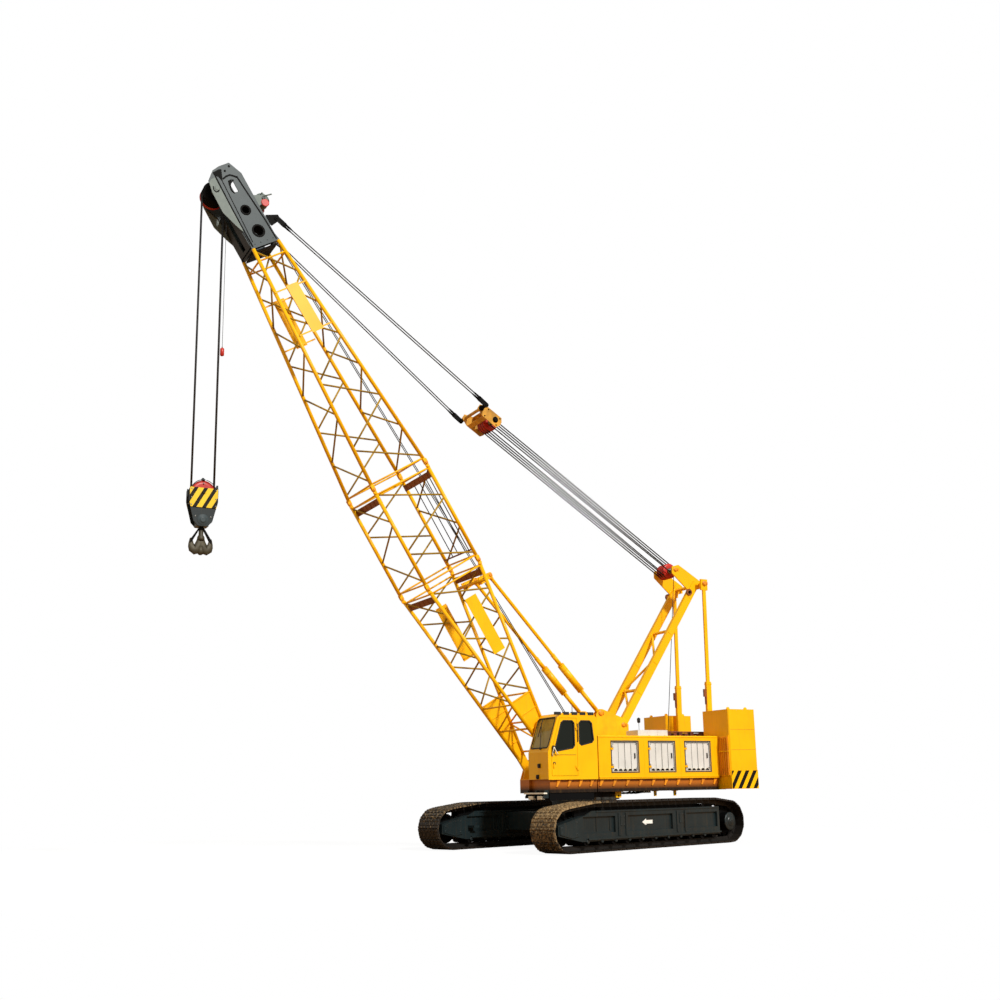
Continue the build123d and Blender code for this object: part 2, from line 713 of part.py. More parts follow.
def slabs(side):
    high = (slab_top - tray_top) / slab_count
    made = []
    for i in range(slab_count):
        z0 = tray_top + i * high + seat_gap
        x0, x1 = sorted((side * weight_in, side * weight_out))
        slab = box((x0, x1), (weight_front, weight_rear), (z0, z0 + high - seat_gap))
        made.append(chamfer(slab.edges().filter_by(Axis.Z), 25))
    return made


def gantry_legs():
    """Front legs with cross bracing, heads with the shaft of the rear links, and the arms of the fixed rope block."""
    foot = Vector(0, leg_foot_y, leg_foot_z)
    apex = Vector(0, apex_y, apex_z)
    way = (apex - foot).normalized()
    made = []
    for side in (left, right):
        move = Vector(side * leg_side, 0, 0)
        made.append(flat_bar(foot + move - way * 90, apex + move + way * 60, leg_wide, leg_deep))
        arm = [(link_top_y + 90, apex_z - 110), (link_top_y + 90, apex_z + 110), (apex_y - 30, apex_z + 260),
               (block_y + 120, block_z + 150), (block_y - 120, block_z + 80), (block_y - 120, block_z - 120),
               (apex_y - 230, apex_z - 200)]
        made.append(side_plate(arm, side * leg_side - 20, side * leg_side + 20))
    inner = leg_side - leg_wide / 2 + 5
    # bracing between the legs: (share of the leg at the right end, at the left end, thickness)
    for share_a, share_b, deep in ((0.24, 0.24, 90), (0.66, 0.66, 90), (0.99, 0.99, 110), (0.26, 0.45, 70),
                                   (0.64, 0.45, 70), (0.26, 0.10, 70)):
        a = foot + (apex - foot) * share_a
        b = foot + (apex - foot) * share_b
        made.append(bar((-inner, a.Y, a.Z), (inner, b.Y, b.Z), deep / 2, 4 if share_a == share_b else 6))
    reach = link_side - link_wide_top / 2
    made.append(cross_shaft(-reach, reach, link_top_y, apex_z, 50, 8))
    return fused(made)


def gantry_links():
    """Rear links: an upper bar and a thicker lower sleeve each side, from the heads' shaft to the tail brackets."""
    made = []
    top = Vector(0, link_top_y, apex_z)
    low = Vector(0, link_foot_y, link_foot_z)
    way = (low - top).normalized()
    long = (low - top).length
    half = link_wide_top / 2
    for side in (left, right):
        move = Vector(side * link_side, 0, 0)
        made.append(fused([
            flat_bar(top + move - way * 130, top + move + way * 200, link_wide_top, 240),
            flat_bar(top + move + way * 150, top + move + way * (long * 0.6), 50, 110),
            flat_bar(top + move + way * (long * 0.55), low + move - way * 350, 90, 170),
            flat_bar(low + move - way * 450, low + move + way * 90, link_wide_top, 170),
            cross_shaft(side * (link_side + half - 5), side * (link_side + half + head_thick), link_top_y, apex_z, 70, 6),
        ]))
    return made


def pulley_pack(count, groove, rim, pitch, sides, axle, reach):
    """Rope sheaves side by side on one axle along X that ends at reach on both sides, at the origin."""
    half = count * pitch / 2
    made = []
    for i in range(count):
        x = -half + i * pitch
        made.append(cross_shaft(x, x + pitch, 0, 0, groove, sides))
    made += [cross_shaft(max(-half, x - sheave_web), min(half, x + sheave_web), 0, 0, groove + rim, sides)
             for x in [-half + i * pitch for i in range(count + 1)]]
    return fused(made) + cross_shaft(-reach, reach, 0, 0, axle, 6)


def gantry_sheaves():
    return Pos(0, block_y, block_z) * pulley_pack(pulley_count, pulley_radius - 30, 30, 2 * pulley_wide, 8, 55,
                                                  leg_side - 20)


# Boom: drawn lying along -Y with its upper side up, then raised about the foot
boom_place = Pos(0, foot_y, foot_z) * Rot(-boom_angle, 0, 0)


def at(x, t, d):
    """A point on the lying boom: across, along and deep."""
    return Vector(x, -t, d)


def boom_size(t):
    """Half width and half depth between chord axes, at the distance t from the foot."""
    if t <= base_end:
        share = max(0.0, (t - foot_chords) / (base_end - foot_chords))
        return boom_half, foot_deep + (boom_deep - foot_deep) * share
    if t <= insert_end:
        return boom_half, boom_deep
    share = (t - insert_end) / (top_end - insert_end)
    return boom_half + (head_half - boom_half) * share, boom_deep + (head_deep - boom_deep) * share


def corner(t, sx, sd):
    w, d = boom_size(t)
    return at(sx * w, t, sd * d)


def chord(start, end):
    """One of the boom's four corner tubes, with flats towards its neighbours."""
    plane = Plane(origin=start, x_dir=(1, 0, 0), z_dir=end - start)
    return extrude(plane * Rot(0, 0, 22.5) * RegularPolygon(chord_radius, 8), (end - start).length)


def lace(start, end, at_side):
    """A lacing tube between two chords, in a side of the boom or in its upper or lower face."""
    plane = Plane(origin=start, x_dir=(1, 0, 0) if at_side else (0, 0, 1), z_dir=end - start)
    return extrude(plane * Rectangle(lace_wide, lace_wide), (end - start).length)


def lattice(t0, t1, bays, frames, lace_from):
    """Four chords from t0 to t1, a zigzag of bays on each side, and frames across at each t of frames."""
    corners = ((left, 1), (left, -1), (right, -1), (right, 1))
    chords = [chord(corner(t0, *c), corner(t1, *c)) for c in corners]
    laces = []
    step = (t1 - 40 - lace_from) / bays
    for f in range(4):
        a, b = corners[f], corners[(f + 1) % 4]
        for i in range(bays):
            lo, hi = lace_from + i * step + 35, lace_from + (i + 1) * step - 35
            first, second = (a, b) if i % 2 == 0 else (b, a)
            laces.append(lace(corner(lo, *first), corner(hi, *second), f % 2 == 0))
        laces += [lace(corner(t, *a), corner(t, *b), f % 2 == 0) for t in frames]
    return chords, laces


def tongue(t, sx, sd):
    """Single lug at the end of a chord, before a joint at t."""
    w, d = boom_size(t)
    return side_plate([(-t + 110, sd * d - 52), (-t - 40, sd * d - 40), (-t - 40, sd * d + 40), (-t + 110, sd * d + 52)],
                      sx * w - tongue_thick / 2, sx * w + tongue_thick / 2)


def fork(t, sx, sd):
    """Double lug at the start of a chord, behind a joint at t, with the head of its pin."""
    w, d = boom_size(t)
    made = []
    for side in (left, right):
        made.append(side_plate([(-t - 110, sd * d - 52), (-t + 40, sd * d - 40), (-t + 40, sd * d + 40),
                                (-t - 110, sd * d + 52)],
                               *sorted((sx * w + side * tongue_thick / 2, sx * w + side * (tongue_thick / 2 + 30)))))
    made.append(cross_shaft(sx * (w + tongue_thick / 2 + 25), sx * (w + tongue_thick / 2 + 30 + head_thick), -t, sd * d,
                            pin_radius, 6))
    return made


def four():
    return ((left, 1), (left, -1), (right, -1), (right, 1))


def boom_base():
    """Base section: side webs with foot lugs, tapering lattice, and lugs for the next section and the backstops."""
    end = base_end - 80
    chords, laces = lattice(foot_chords, end, 5, (end - joint_half + 80,), foot_web)
    made = chords + laces
    w = boom_half
    low_w, low_d = boom_size(foot_web)
    for side in (left, right):
        x0, x1 = side * w - foot_thick / 2, side * w + foot_thick / 2
        lug = cross_shaft(x0, x1, 0, 0, foot_radius, 12) + side_plate(
            [(-60, -foot_radius + 25), (-foot_chords - 80, -foot_deep - 40), (-foot_chords - 80, foot_deep + 40),
             (-60, foot_radius - 25)], x0, x1)
        lug -= cross_shaft(x0 - 1, x1 + 1, 0, 0, foot_pin + pin_play)
        web = side_plate([(-foot_chords, -foot_deep), (-foot_web, -low_d), (-foot_web, low_d),
                          (-foot_chords, foot_deep)], side * w - 12, side * w + 12)
        made += [lug, web]
        # backstop lugs: two plates on the cross beam, one each side of the strut's eye
        for face in (left, right):
            x = side * stop_side + face * (stop_eye_half + cheek_gap)
            beam_d = boom_size(stop_t)[1]
            made.append(side_plate([(-stop_t - 110, beam_d - 20), (-stop_t + 110, beam_d - 20), (-stop_t + 60, stop_d + 60),
                                    (-stop_t - 60, stop_d + 60)], *sorted((x, x + face * 25))))
    made.append(bar(corner(stop_t, left, 1), corner(stop_t, right, 1), 48, 6))
    # cross tubes between the webs, upper and lower: (t, depth sign)
    for t, sd in ((560, 1), (1400, 1), (1400, -1), (foot_web - 60, 1), (foot_web - 60, -1)):
        made.append(lace(corner(t, left, sd), corner(t, right, sd), False))
    made.append(lace(corner(600, left, 1), corner(1370, right, 1), False))
    made += [lace(corner(1430, right, sd), corner(foot_web - 100, left, sd), False) for sd in (1, -1)]
    made.append(box((-boom_half, boom_half), (-end + 150, -end + 330), (boom_deep - 65, boom_deep - 35)))
    made += [tongue(base_end, *c) for c in four()]
    return fused(made)


def boom_insert():
    start, end = base_end + 80, insert_end - 80
    chords, laces = lattice(start, end, 3, (base_end + joint_half, insert_end - joint_half), start + 120)
    made = chords + laces
    made.append(box((-boom_half, boom_half), (-end + 150, -end + 330), (boom_deep - 65, boom_deep - 35)))
    for c in four():
        made += fork(base_end, *c)
        made.append(tongue(insert_end, *c))
    return fused(made)


def boom_top():
    start = insert_end + 80
    chords, laces = lattice(start, top_end, 7, (insert_end + joint_half, top_end - 350), start + 120)
    made = chords + laces
    for c in four():
        made += fork(insert_end, *c)
    end = box((-track_span, track_span), (-top_end - 200, -top_end), (-boom_deep, boom_deep))
    return fused(made) - end


sheave_t, guide_t, anchor_t, jib_t = (top_end + out for out in (sheave_out, guide_out, anchor_out, jib_out))
head_tip = top_end + tip_out
head_edge = head_deep + 45


def head_outline():
    """(t, d) of the boom head's side plate, from its lower front corner round."""
    return [(top_end, -head_edge), (top_end, head_edge), (top_end + 200, head_deep), (anchor_t - 110, head_deep - 5),
            (anchor_t - 70, anchor_d + 80), (anchor_t + 70, anchor_d + 80), (anchor_t + 150, head_deep - 7),
            (head_tip - 360, head_deep - 15), (head_tip, 190), (head_tip - 10, -120), (head_tip - 60, -330),
            (sheave_t + 260, sheave_d - 120), (sheave_t - 160, sheave_d - 140), (sheave_t - 470, -head_edge - 10),
            (top_end + 220, -head_deep - 15)]


def boom_head():
    """Two cheek plates with round holes, joined by cross tubes, and the plate that closes the section below."""
    made = []
    for side in (left, right):
        x0, x1 = both_ways(side, head_half - head_plate / 2, head_half + head_plate / 2)
        plate = side_plate([(-t, d) for t, d in head_outline()], x0, x1)
        plate -= cross_shaft(x0 - 1, x1 + 1, -jib_t, jib_d, jib_bore)
        plate -= cross_shaft(x0 - 1, x1 + 1, -top_end - hole_out, 0, 140, 8)
        plate -= box((x0 - 1, x1 + 1), (-top_end - slot_out - slot_long, -top_end - slot_out), (-80, 40))
        made.append(plate)
        # bracket of the guide sheaves, on two of the cross tubes
        x = side * guide_side
        made.append(side_plate([(-guide_t + 230, 280), (-guide_t + 80, guide_d + 70), (-guide_t - 80, guide_d + 70),
                                (-guide_t - 230, 280)], *sorted((x, x + side * 16))))
    inner = head_half - head_plate / 2 + 2
    # cross tubes: (t, d, radius)
    for t, d, r in ((head_tip - 160, 60, 60), (top_end + 320, -250, 60), (guide_t - 190, 300, 50), (guide_t + 190, 300, 50)):
        made.append(cross_shaft(-inner, inner, -t, d, r, 6))
    made.append(box((-inner, inner), (-top_end - 50, -top_end), (-head_deep - 15, head_deep + 15)) -
                box((-inner + 110, inner - 110), (-top_end - 60, -top_end + 10), (95 - head_deep, head_deep - 95)))
    low, sole_end = -head_deep - 45, -sheave_t + 540
    sole = side_plate([(-top_end - 70, low), (sole_end, low - 10), (sole_end, low + 20), (-top_end - 70, low + 30)],
                      -inner, inner)
    made.append(sole - box((-110, 110), (sole_end - 20, -top_end - 150), (low - 70, low + 50)))
    return fused(made)


def head_pulleys():
    """The hoist sheaves at the tip and the guide sheaves on the upper side."""
    tip = Pos(0, -sheave_t, sheave_d) * pulley_pack(head_sheaves, sheave_radius, sheave_rim, sheave_wide + 40, 12, 50,
                                                    head_half - head_plate / 2)
    guides = Pos(0, -guide_t, guide_d) * pulley_pack(2, guide_radius - 30, 30, sheave_wide + 40, 8, 40, guide_side)
    return [tip, guides]


def boom_point(x, t, d):
    """Where a point of the lying boom stands on the crane."""
    a = radians(boom_angle)
    return Vector(x, foot_y - t * cos(a) + d * sin(a), foot_z + t * sin(a) + d * cos(a))


def bail_frame():
    """Direction from the bail to the gantry's block, and one square to it."""
    way = Vector(0, block_y - bail_y, block_z - bail_z).normalized()
    return way, Vector(0, -way.Z, way.Y)


def bail():
    """Open box of the luffing tackle: two cheeks, a shaft for the pendants and two cross plates."""
    way, up = bail_frame()
    origin = Vector(0, bail_y, bail_z)

    def spot(a, b):
        p = origin + way * a + up * b
        return p.Y, p.Z

    made = []
    for side in (left, right):
        made.append(side_plate([spot(-90, -70), spot(-90, 70), spot(150, 170), spot(650, 170), spot(720, 60),
                                spot(720, -60), spot(650, -170), spot(150, -170)],
                               *both_ways(side, bail_half - 25, bail_half)))
    y, z = spot(0, 0)
    reach = pendant_side - link_plate / 2
    made.append(cross_shaft(-reach, reach, y, z, 45, 8))
    for b in (150, -170):
        made.append(side_plate([spot(160, b), spot(160, b + 20), spot(300, b + 20), spot(300, b)],
                               -bail_half + 5, bail_half - 5))
    return fused(made)


def bail_sheaves():
    way, up = bail_frame()
    p = Vector(0, bail_y, bail_z) + way * 520
    return Pos(0, p.Y, p.Z) * pulley_pack(pulley_count, pulley_radius - 30, 30, 2 * pulley_wide, 8, 50, bail_half - 25)


def pendants():
    """A pair of ropes each side between two link plates, from the head's anchor to the bail's shaft."""
    made = []
    for side in (left, right):
        head_x = head_half + (head_plate + link_plate) / 2
        top = boom_point(side * head_x, anchor_t, anchor_d)
        low = Vector(side * pendant_side, bail_y, bail_z)
        flat = Vector(0, low.Y - top.Y, low.Z - top.Z).normalized()
        square = Vector(0, -flat.Z, flat.Y)
        solids = []
        for end, way in ((top, flat), (low, flat * -1)):
            tip = [end - way * 70 - square * 40, end - way * 70 + square * 40, end + way * 60 + square * 75,
                   end + way * 330 + square * 75, end + way * 330 - square * 75, end + way * 60 - square * 75]
            solids.append(side_plate([(p.Y, p.Z) for p in tip], end.X - link_plate / 2, end.X + link_plate / 2))
            solids.append(cross_shaft(end.X + side * (link_plate / 2 - 5), end.X + side * (link_plate / 2 + head_thick),
                                      end.Y, end.Z, 40, 6))
        for shift in (-pendant_apart / 2, pendant_apart / 2):
            a = top + flat * 300 + square * shift
            b = low - flat * 300 + square * shift
            solids.append(bar(a, b, pendant_radius))
        made.append(fused(solids))
    return made


# Backstops: they stand in the planes of the gantry's legs
stop_side = leg_side
stop_foot_half = leg_wide / 2 - seat_gap

# the strut's line at rest, and its reach at both ends of the luffing range
luff_up, luff_down = 21.3, -28.7


def stop_pin(turn):
    """The strut's upper pin (y, z) with the boom turned by so many degrees from where it stands."""
    rest = boom_point(0, stop_t, stop_d)
    a = radians(turn)
    y, z = rest.Y - foot_y, rest.Z - foot_z
    return foot_y + y * cos(a) + z * sin(a), foot_z - y * sin(a) + z * cos(a)


def stop_reach(turn):
    y, z = stop_pin(turn)
    return hypot(y - stop_foot_y, z - stop_foot_z)


def stop_line():
    """Unit vector from the strut's foot to its head, at rest."""
    y, z = stop_pin(0)
    return Vector(0, y - stop_foot_y, z - stop_foot_z).normalized()


stop_rest = stop_reach(0)
stop_short = stop_reach(luff_up)
stop_full = stop_reach(luff_down)


def backstop_sleeves():
    """Lower halves: an eye between the bracket's cheeks, a rod and a thicker open sleeve."""
    made = []
    way = stop_line()
    for side in (left, right):
        foot = Vector(side * stop_side, stop_foot_y, stop_foot_z)
        body = fused([cross_shaft(foot.X - stop_foot_half, foot.X + stop_foot_half, foot.Y, foot.Z, 85, 8),
                      bar(foot + way * 40, foot + way * stop_guide_to, stop_rod, 8),
                      bar(foot + way * stop_sleeve_from, foot + way * stop_sleeve_to, stop_sleeve, 8)])
        made.append(body - bar(foot + way * 110, foot + way * (stop_guide_to + 50), stop_tube + seat_gap, 8))
    return made


def backstop_tubes():
    """Upper halves: a tube that slides in the sleeve and ends in an eye between the boom's lugs."""
    made = []
    way = stop_line()
    y, z = stop_pin(0)
    for side in (left, right):
        head = Vector(side * stop_side, y, z)
        foot = Vector(side * stop_side, stop_foot_y, stop_foot_z)
        start = max(130.0 + stop_rest - stop_short, stop_guide_to - stop_tail - (stop_full - stop_rest))
        made.append(bar(foot + way * start, head - way * 30, stop_tube, 8) +
                    cross_shaft(head.X - stop_eye_half, head.X + stop_eye_half, y, z, 80, 8))
    return made


# Hook block, hanging plumb below the head sheaves
head_axis = boom_point(0, sheave_t, sheave_d)
block_z_axis = head_axis.Z - fall_long
fall_pitch = sheave_wide + 40


def fall_places():
    """X of each fall: the inner two sheaves, one rope down in front and one behind each."""
    return [-fall_pitch / 2, fall_pitch / 2]


def hoist_falls():
    made = []
    for x in fall_places():
        for way in (-1, 1):
            y = head_axis.Y + way * (sheave_radius + fall_radius + seat_gap)
            rope = extrude(Rot(0, 0, 30) * RegularPolygon(fall_radius, 6), head_axis.Z - block_z_axis)
            made.append(Pos(x, y, block_z_axis) * rope)
    return made


def hook_block():
    """Two cheek plates that taper to the crosshead, on which the hook's shank bears."""
    y0, z0 = head_axis.Y, block_z_axis
    half = [(250, 230), (block_wide, 40), (block_wide, -230), (230, -760), (120, -block_low), (-120, -block_low),
            (-230, -760), (-block_wide, -230), (-block_wide, 40), (-250, 230)]
    outline = [(y0 + y, z0 + z) for y, z in half]
    made = [side_plate(outline, *both_ways(side, block_half, block_half + block_cheek)) for side in (left, right)]
    made.append(box((-block_half - 5, block_half + 5), (y0 - 150, y0 + 150), (z0 - block_low, z0 - 540)))
    return fused(made)


def block_sheaves():
    return Pos(0, head_axis.Y, block_z_axis) * pulley_pack(2, sheave_radius, sheave_rim, fall_pitch, 12, 50, block_half)


def hook():
    """Double hook: a shank under the block and two horns that turn up on either side."""
    y0, z0 = head_axis.Y, block_z_axis - hook_drop
    top = block_z_axis - block_low - seat_gap
    solids = [Pos(0, y0, z0 - 250) * extrude(RegularPolygon(60, 8), top - z0 + 250)]
    for way in (left, right):
        outline = make_face(Polyline((0, -190), (way * 60, -200), (way * 85, -370), (way * 145, -440),
                                     (way * 205, -380), (way * 222, -210), (way * 262, -220), (way * 290, -380),
                                     (way * 240, -530), (way * 140, -625), (0, -655), close=True))
        solids.append(extrude(Plane.YZ * Pos(y0, z0) * outline, 45, both=True))
    return fused(solids)


def shapes():
    """Every node with its solid or solids, by body."""
    nodes = {}
    for side, word in ((left, "left"), (right, "right")):
        nodes[f"track_{word}"] = turned(track(side))
        nodes[f"crawler_frame_{word}"] = turned(crawler_frame(side))
        nodes[f"rollers_{word}"] = turned(rollers(side))
    nodes["idlers"] = turned([idler(left), idler(right)])
    nodes["sprockets"] = turned([sprocket(left), sprocket(right)])
    nodes["carbody"] = turned(carbody())
    nodes["slewing_ring"] = slewing_ring()
    nodes["deck"] = deck()
    for side, word in ((left, "left"), (right, "right")):
        nodes[f"house_{word}"] = house(side)
        for i, start in enumerate(door_starts()):
            nodes[f"door_{word}_{i + 1}"] = house_door(side, start)
        nodes[f"counterweight_{word}"] = slabs(side)
    nodes["counterweight_tray"] = counterweight_tray()
    nodes["cab_shell"] = cab_shell()
    nodes["cab_glass"] = cab_glass()
    nodes["cab_door"] = cab_door()
    nodes["cab_door_glass"] = cab_door_glass()
    nodes["operator_seat"] = operator_seat()
    nodes["control_stand"] = control_stand()
    nodes["engine_block"] = engine_block()
    nodes["fuel_tank"] = fuel_tank()
    nodes["roof_boxes"] = roof_box()
    nodes["winch_drums"] = winch_drums()
    nodes["gantry_legs"] = gantry_legs()
    nodes["gantry_links"] = gantry_links()
    nodes["gantry_sheaves"] = gantry_sheaves()
    for name, shape in (("boom_base", boom_base()), ("boom_insert", boom_insert()), ("boom_top", boom_top()),
                        ("boom_head", boom_head())):
        nodes[name] = boom_place * shape
    nodes["head_sheaves"] = [boom_place * s for s in head_pulleys()]
    nodes["bail"] = bail()
    nodes["bail_sheaves"] = bail_sheaves()
    nodes["pendants"] = pendants()
    nodes["backstop_sleeves"] = backstop_sleeves()
    nodes["backstop_tubes"] = backstop_tubes()
    nodes["hoist_falls"] = hoist_falls()
    nodes["hook_block"] = hook_block()
    nodes["block_sheaves"] = block_sheaves()
    nodes["hook"] = hook()
    return nodes


def as_solids(shape):
    parts = shape if isinstance(shape, list) else [shape]
    return [solid for part in parts for solid in part.solids()]


# The origin goes under the middle of the machine's length
front_reach = max(sheave_radius + sheave_rim, block_wide) - head_axis.Y
slew_y = (front_reach - weight_rear) / 2

if __name__ == "__main__":
    os.makedirs("parts", exist_ok=True)
    for name, shape in shapes().items():
        moved = [Pos(0, slew_y, 0) * solid for solid in as_solids(shape)]
        whole = moved[0] if len(moved) == 1 else Compound(children=moved)
        whole.label = name
        export_step(whole, f"parts/{name}.step")
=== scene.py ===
import math

import bmesh
import bpy
from mathutils import Matrix, Vector


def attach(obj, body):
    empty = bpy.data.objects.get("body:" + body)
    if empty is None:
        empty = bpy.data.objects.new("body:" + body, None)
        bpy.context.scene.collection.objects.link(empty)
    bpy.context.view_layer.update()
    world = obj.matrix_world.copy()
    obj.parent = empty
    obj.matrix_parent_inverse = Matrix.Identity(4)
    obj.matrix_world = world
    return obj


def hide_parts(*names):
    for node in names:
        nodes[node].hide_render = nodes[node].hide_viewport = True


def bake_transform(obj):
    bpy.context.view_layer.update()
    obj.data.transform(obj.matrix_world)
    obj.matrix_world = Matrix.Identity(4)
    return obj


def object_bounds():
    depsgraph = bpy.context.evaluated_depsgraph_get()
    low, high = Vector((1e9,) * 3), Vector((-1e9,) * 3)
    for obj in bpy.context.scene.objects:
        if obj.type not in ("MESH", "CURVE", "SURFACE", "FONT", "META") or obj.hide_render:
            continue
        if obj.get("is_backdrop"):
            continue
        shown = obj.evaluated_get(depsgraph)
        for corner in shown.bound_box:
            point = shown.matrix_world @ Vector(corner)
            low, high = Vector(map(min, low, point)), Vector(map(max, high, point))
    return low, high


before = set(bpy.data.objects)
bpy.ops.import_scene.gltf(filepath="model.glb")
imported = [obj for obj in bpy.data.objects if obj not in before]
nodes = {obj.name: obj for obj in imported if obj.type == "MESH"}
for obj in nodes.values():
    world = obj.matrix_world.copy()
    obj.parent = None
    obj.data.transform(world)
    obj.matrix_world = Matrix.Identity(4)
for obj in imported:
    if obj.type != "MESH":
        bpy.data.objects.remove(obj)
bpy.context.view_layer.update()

# The viewpoint: an eye at standing height on the ground, ahead and to the left of the crane, that looks up a little.
# The lens and the offsets of its axis were fitted to the photograph's straight edges.
scene = bpy.context.scene
slew_axis_y = 3.359465  # the slewing axis along Y in the frame's coordinates
heading, pitch, roll = math.radians(61.98), math.radians(11.98), math.radians(-1.05)
ahead = Vector((-math.sin(heading) * math.cos(pitch), math.cos(heading) * math.cos(pitch), math.sin(pitch)))
level_right = Vector((math.cos(heading), math.sin(heading), 0))
level_up = level_right.cross(ahead)
cam_right = level_right * math.cos(roll) + level_up * math.sin(roll)
cam_up = level_up * math.cos(roll) - level_right * math.sin(roll)
camera = bpy.data.objects.new("camera", bpy.data.cameras.new("camera"))
scene.collection.objects.link(camera)
spot = Vector((28.0756, -17.6137 + slew_axis_y, 1.5546))
camera.matrix_world = Matrix((
    (cam_right.x, cam_up.x, -ahead.x, spot.x),
    (cam_right.y, cam_up.y, -ahead.y, spot.y),
    (cam_right.z, cam_up.z, -ahead.z, spot.z),
    (0, 0, 0, 1)))
camera.data.lens, camera.data.sensor_width = 41.82, 36
camera.data.shift_x, camera.data.shift_y = 0.0055, 0.0433
camera.data.clip_end = 400
scene.camera = camera
scene.view_settings.view_transform = "Standard"


# The studio: a white floor that keeps a trace of shadow and a white surround, both at the brightness of paper.
# The object is lit by a soft sky and one broad lamp that stands for the sun, high on the near side.
def srgb(code):
    """A colour written as sRGB hex, in linear light."""
    parts = [int(code[i:i + 2], 16) / 255 for i in (1, 3, 5)]
    return tuple(c / 12.92 if c <= 0.04045 else ((c + 0.055) / 1.055) ** 2.4 for c in parts) + (1.0,)


def add(tree, kind, values=None, **settings):
    """Adds one shader node. values gives sockets by name or number: a constant, another node or its output."""
    node = tree.nodes.new("ShaderNode" + kind)
    for name, value in settings.items():
        setattr(node, name, value)
    for name, value in (values or {}).items():
        if isinstance(value, bpy.types.Node):
            value = value.outputs[0]
        if isinstance(value, bpy.types.NodeSocket):
            tree.links.new(value, node.inputs[name])
        else:
            node.inputs[name].default_value = value
    return node


def blank(owner):
    """The emptied node tree of a world or a material."""
    owner.use_nodes = True
    owner.node_tree.nodes.clear()
    return owner.node_tree


def reckon(tree, operation, first, second=0.0):
    """One sum with two numbers."""
    return add(tree, "Math", {0: first, 1: second}, operation=operation).outputs[0]


def ramp(tree, value, low, high, first=0.0, last=1.0):
    """A value between low and high, turned into one between first and last."""
    limits = {"From Min": low, "From Max": high, "To Min": first, "To Max": last}
    return add(tree, "MapRange", {"Value": value, **limits}).outputs[0]


white = srgb("#FFFFFF")
scene.world = bpy.data.worlds.new("white surround")
tree = blank(scene.world)
path = add(tree, "LightPath").outputs
seen = reckon(tree, "MAXIMUM", path["Is Camera Ray"], path["Is Transmission Ray"])
sky = add(tree, "Background", {"Color": srgb("#F6EFE2"), "Strength": 0.62})
paper = add(tree, "Background", {"Color": white, "Strength": 1.0})
add(tree, "OutputWorld", {"Surface": add(tree, "MixShader", {0: seen, 1: sky, 2: paper})})

floor_mesh = bpy.data.meshes.new("floor")
reach = 160.0
floor_mesh.from_pydata([(-reach, -reach, 0), (reach, -reach, 0), (reach, reach, 0), (-reach, reach, 0)], [],
                       [(0, 1, 2, 3)])
floor = bpy.data.objects.new("floor", floor_mesh)
floor.location.z = -0.002
scene.collection.objects.link(floor)
floor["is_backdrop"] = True
white_floor = bpy.data.materials.new("matt white floor paint")
tree = blank(white_floor)
camera_ray = add(tree, "LightPath").outputs["Is Camera Ray"]
away = add(tree, "VectorMath", {0: add(tree, "TexCoord").outputs["Object"]}, operation="LENGTH").outputs["Value"]
plain = reckon(tree, "MAXIMUM", 0.93, ramp(tree, away, 7.0, 16.0))
toned = add(tree, "MixShader", {0: plain, 1: add(tree, "BsdfDiffuse", {"Color": white}),
                                2: add(tree, "Emission", {"Color": white, "Strength": 1.0})})
bounce = add(tree, "BsdfDiffuse", {"Color": srgb("#A87F52")})
add(tree, "OutputMaterial", {"Surface": add(tree, "MixShader", {0: camera_ray, 1: bounce, 2: toned})})
floor_mesh.materials.append(white_floor)

sun = bpy.data.objects.new("sun", bpy.data.lights.new("sun", "SUN"))
sun.data.energy, sun.data.angle, sun.data.color = 3.2, 0.1, (1.0, 0.985, 0.95)
sun.rotation_mode = "QUATERNION"
sun.rotation_quaternion = Vector((-0.84, -0.12, -0.62)).to_track_quat("-Z", "Y")
scene.collection.objects.link(sun)


# Tracks: cast steel shoes with rows of cleats, bolted to the links of a closed chain. The front shoes are caked with
# dry tan mud, which thins out along the top run.
def noise(tree, vector, scale, detail, rough=0.5):
    """A cloudy pattern in metres."""
    values = {"Vector": vector, "Scale": scale, "Detail": detail, "Roughness": rough}
    return add(tree, "TexNoise", values).outputs["Fac"]


def cover(tree, share, first, second):
    """Lays a second colour over the first by a share."""
    return add(tree, "Mix", {"Factor": share, 6: first, 7: srgb(second)}, data_type="RGBA").outputs[2]


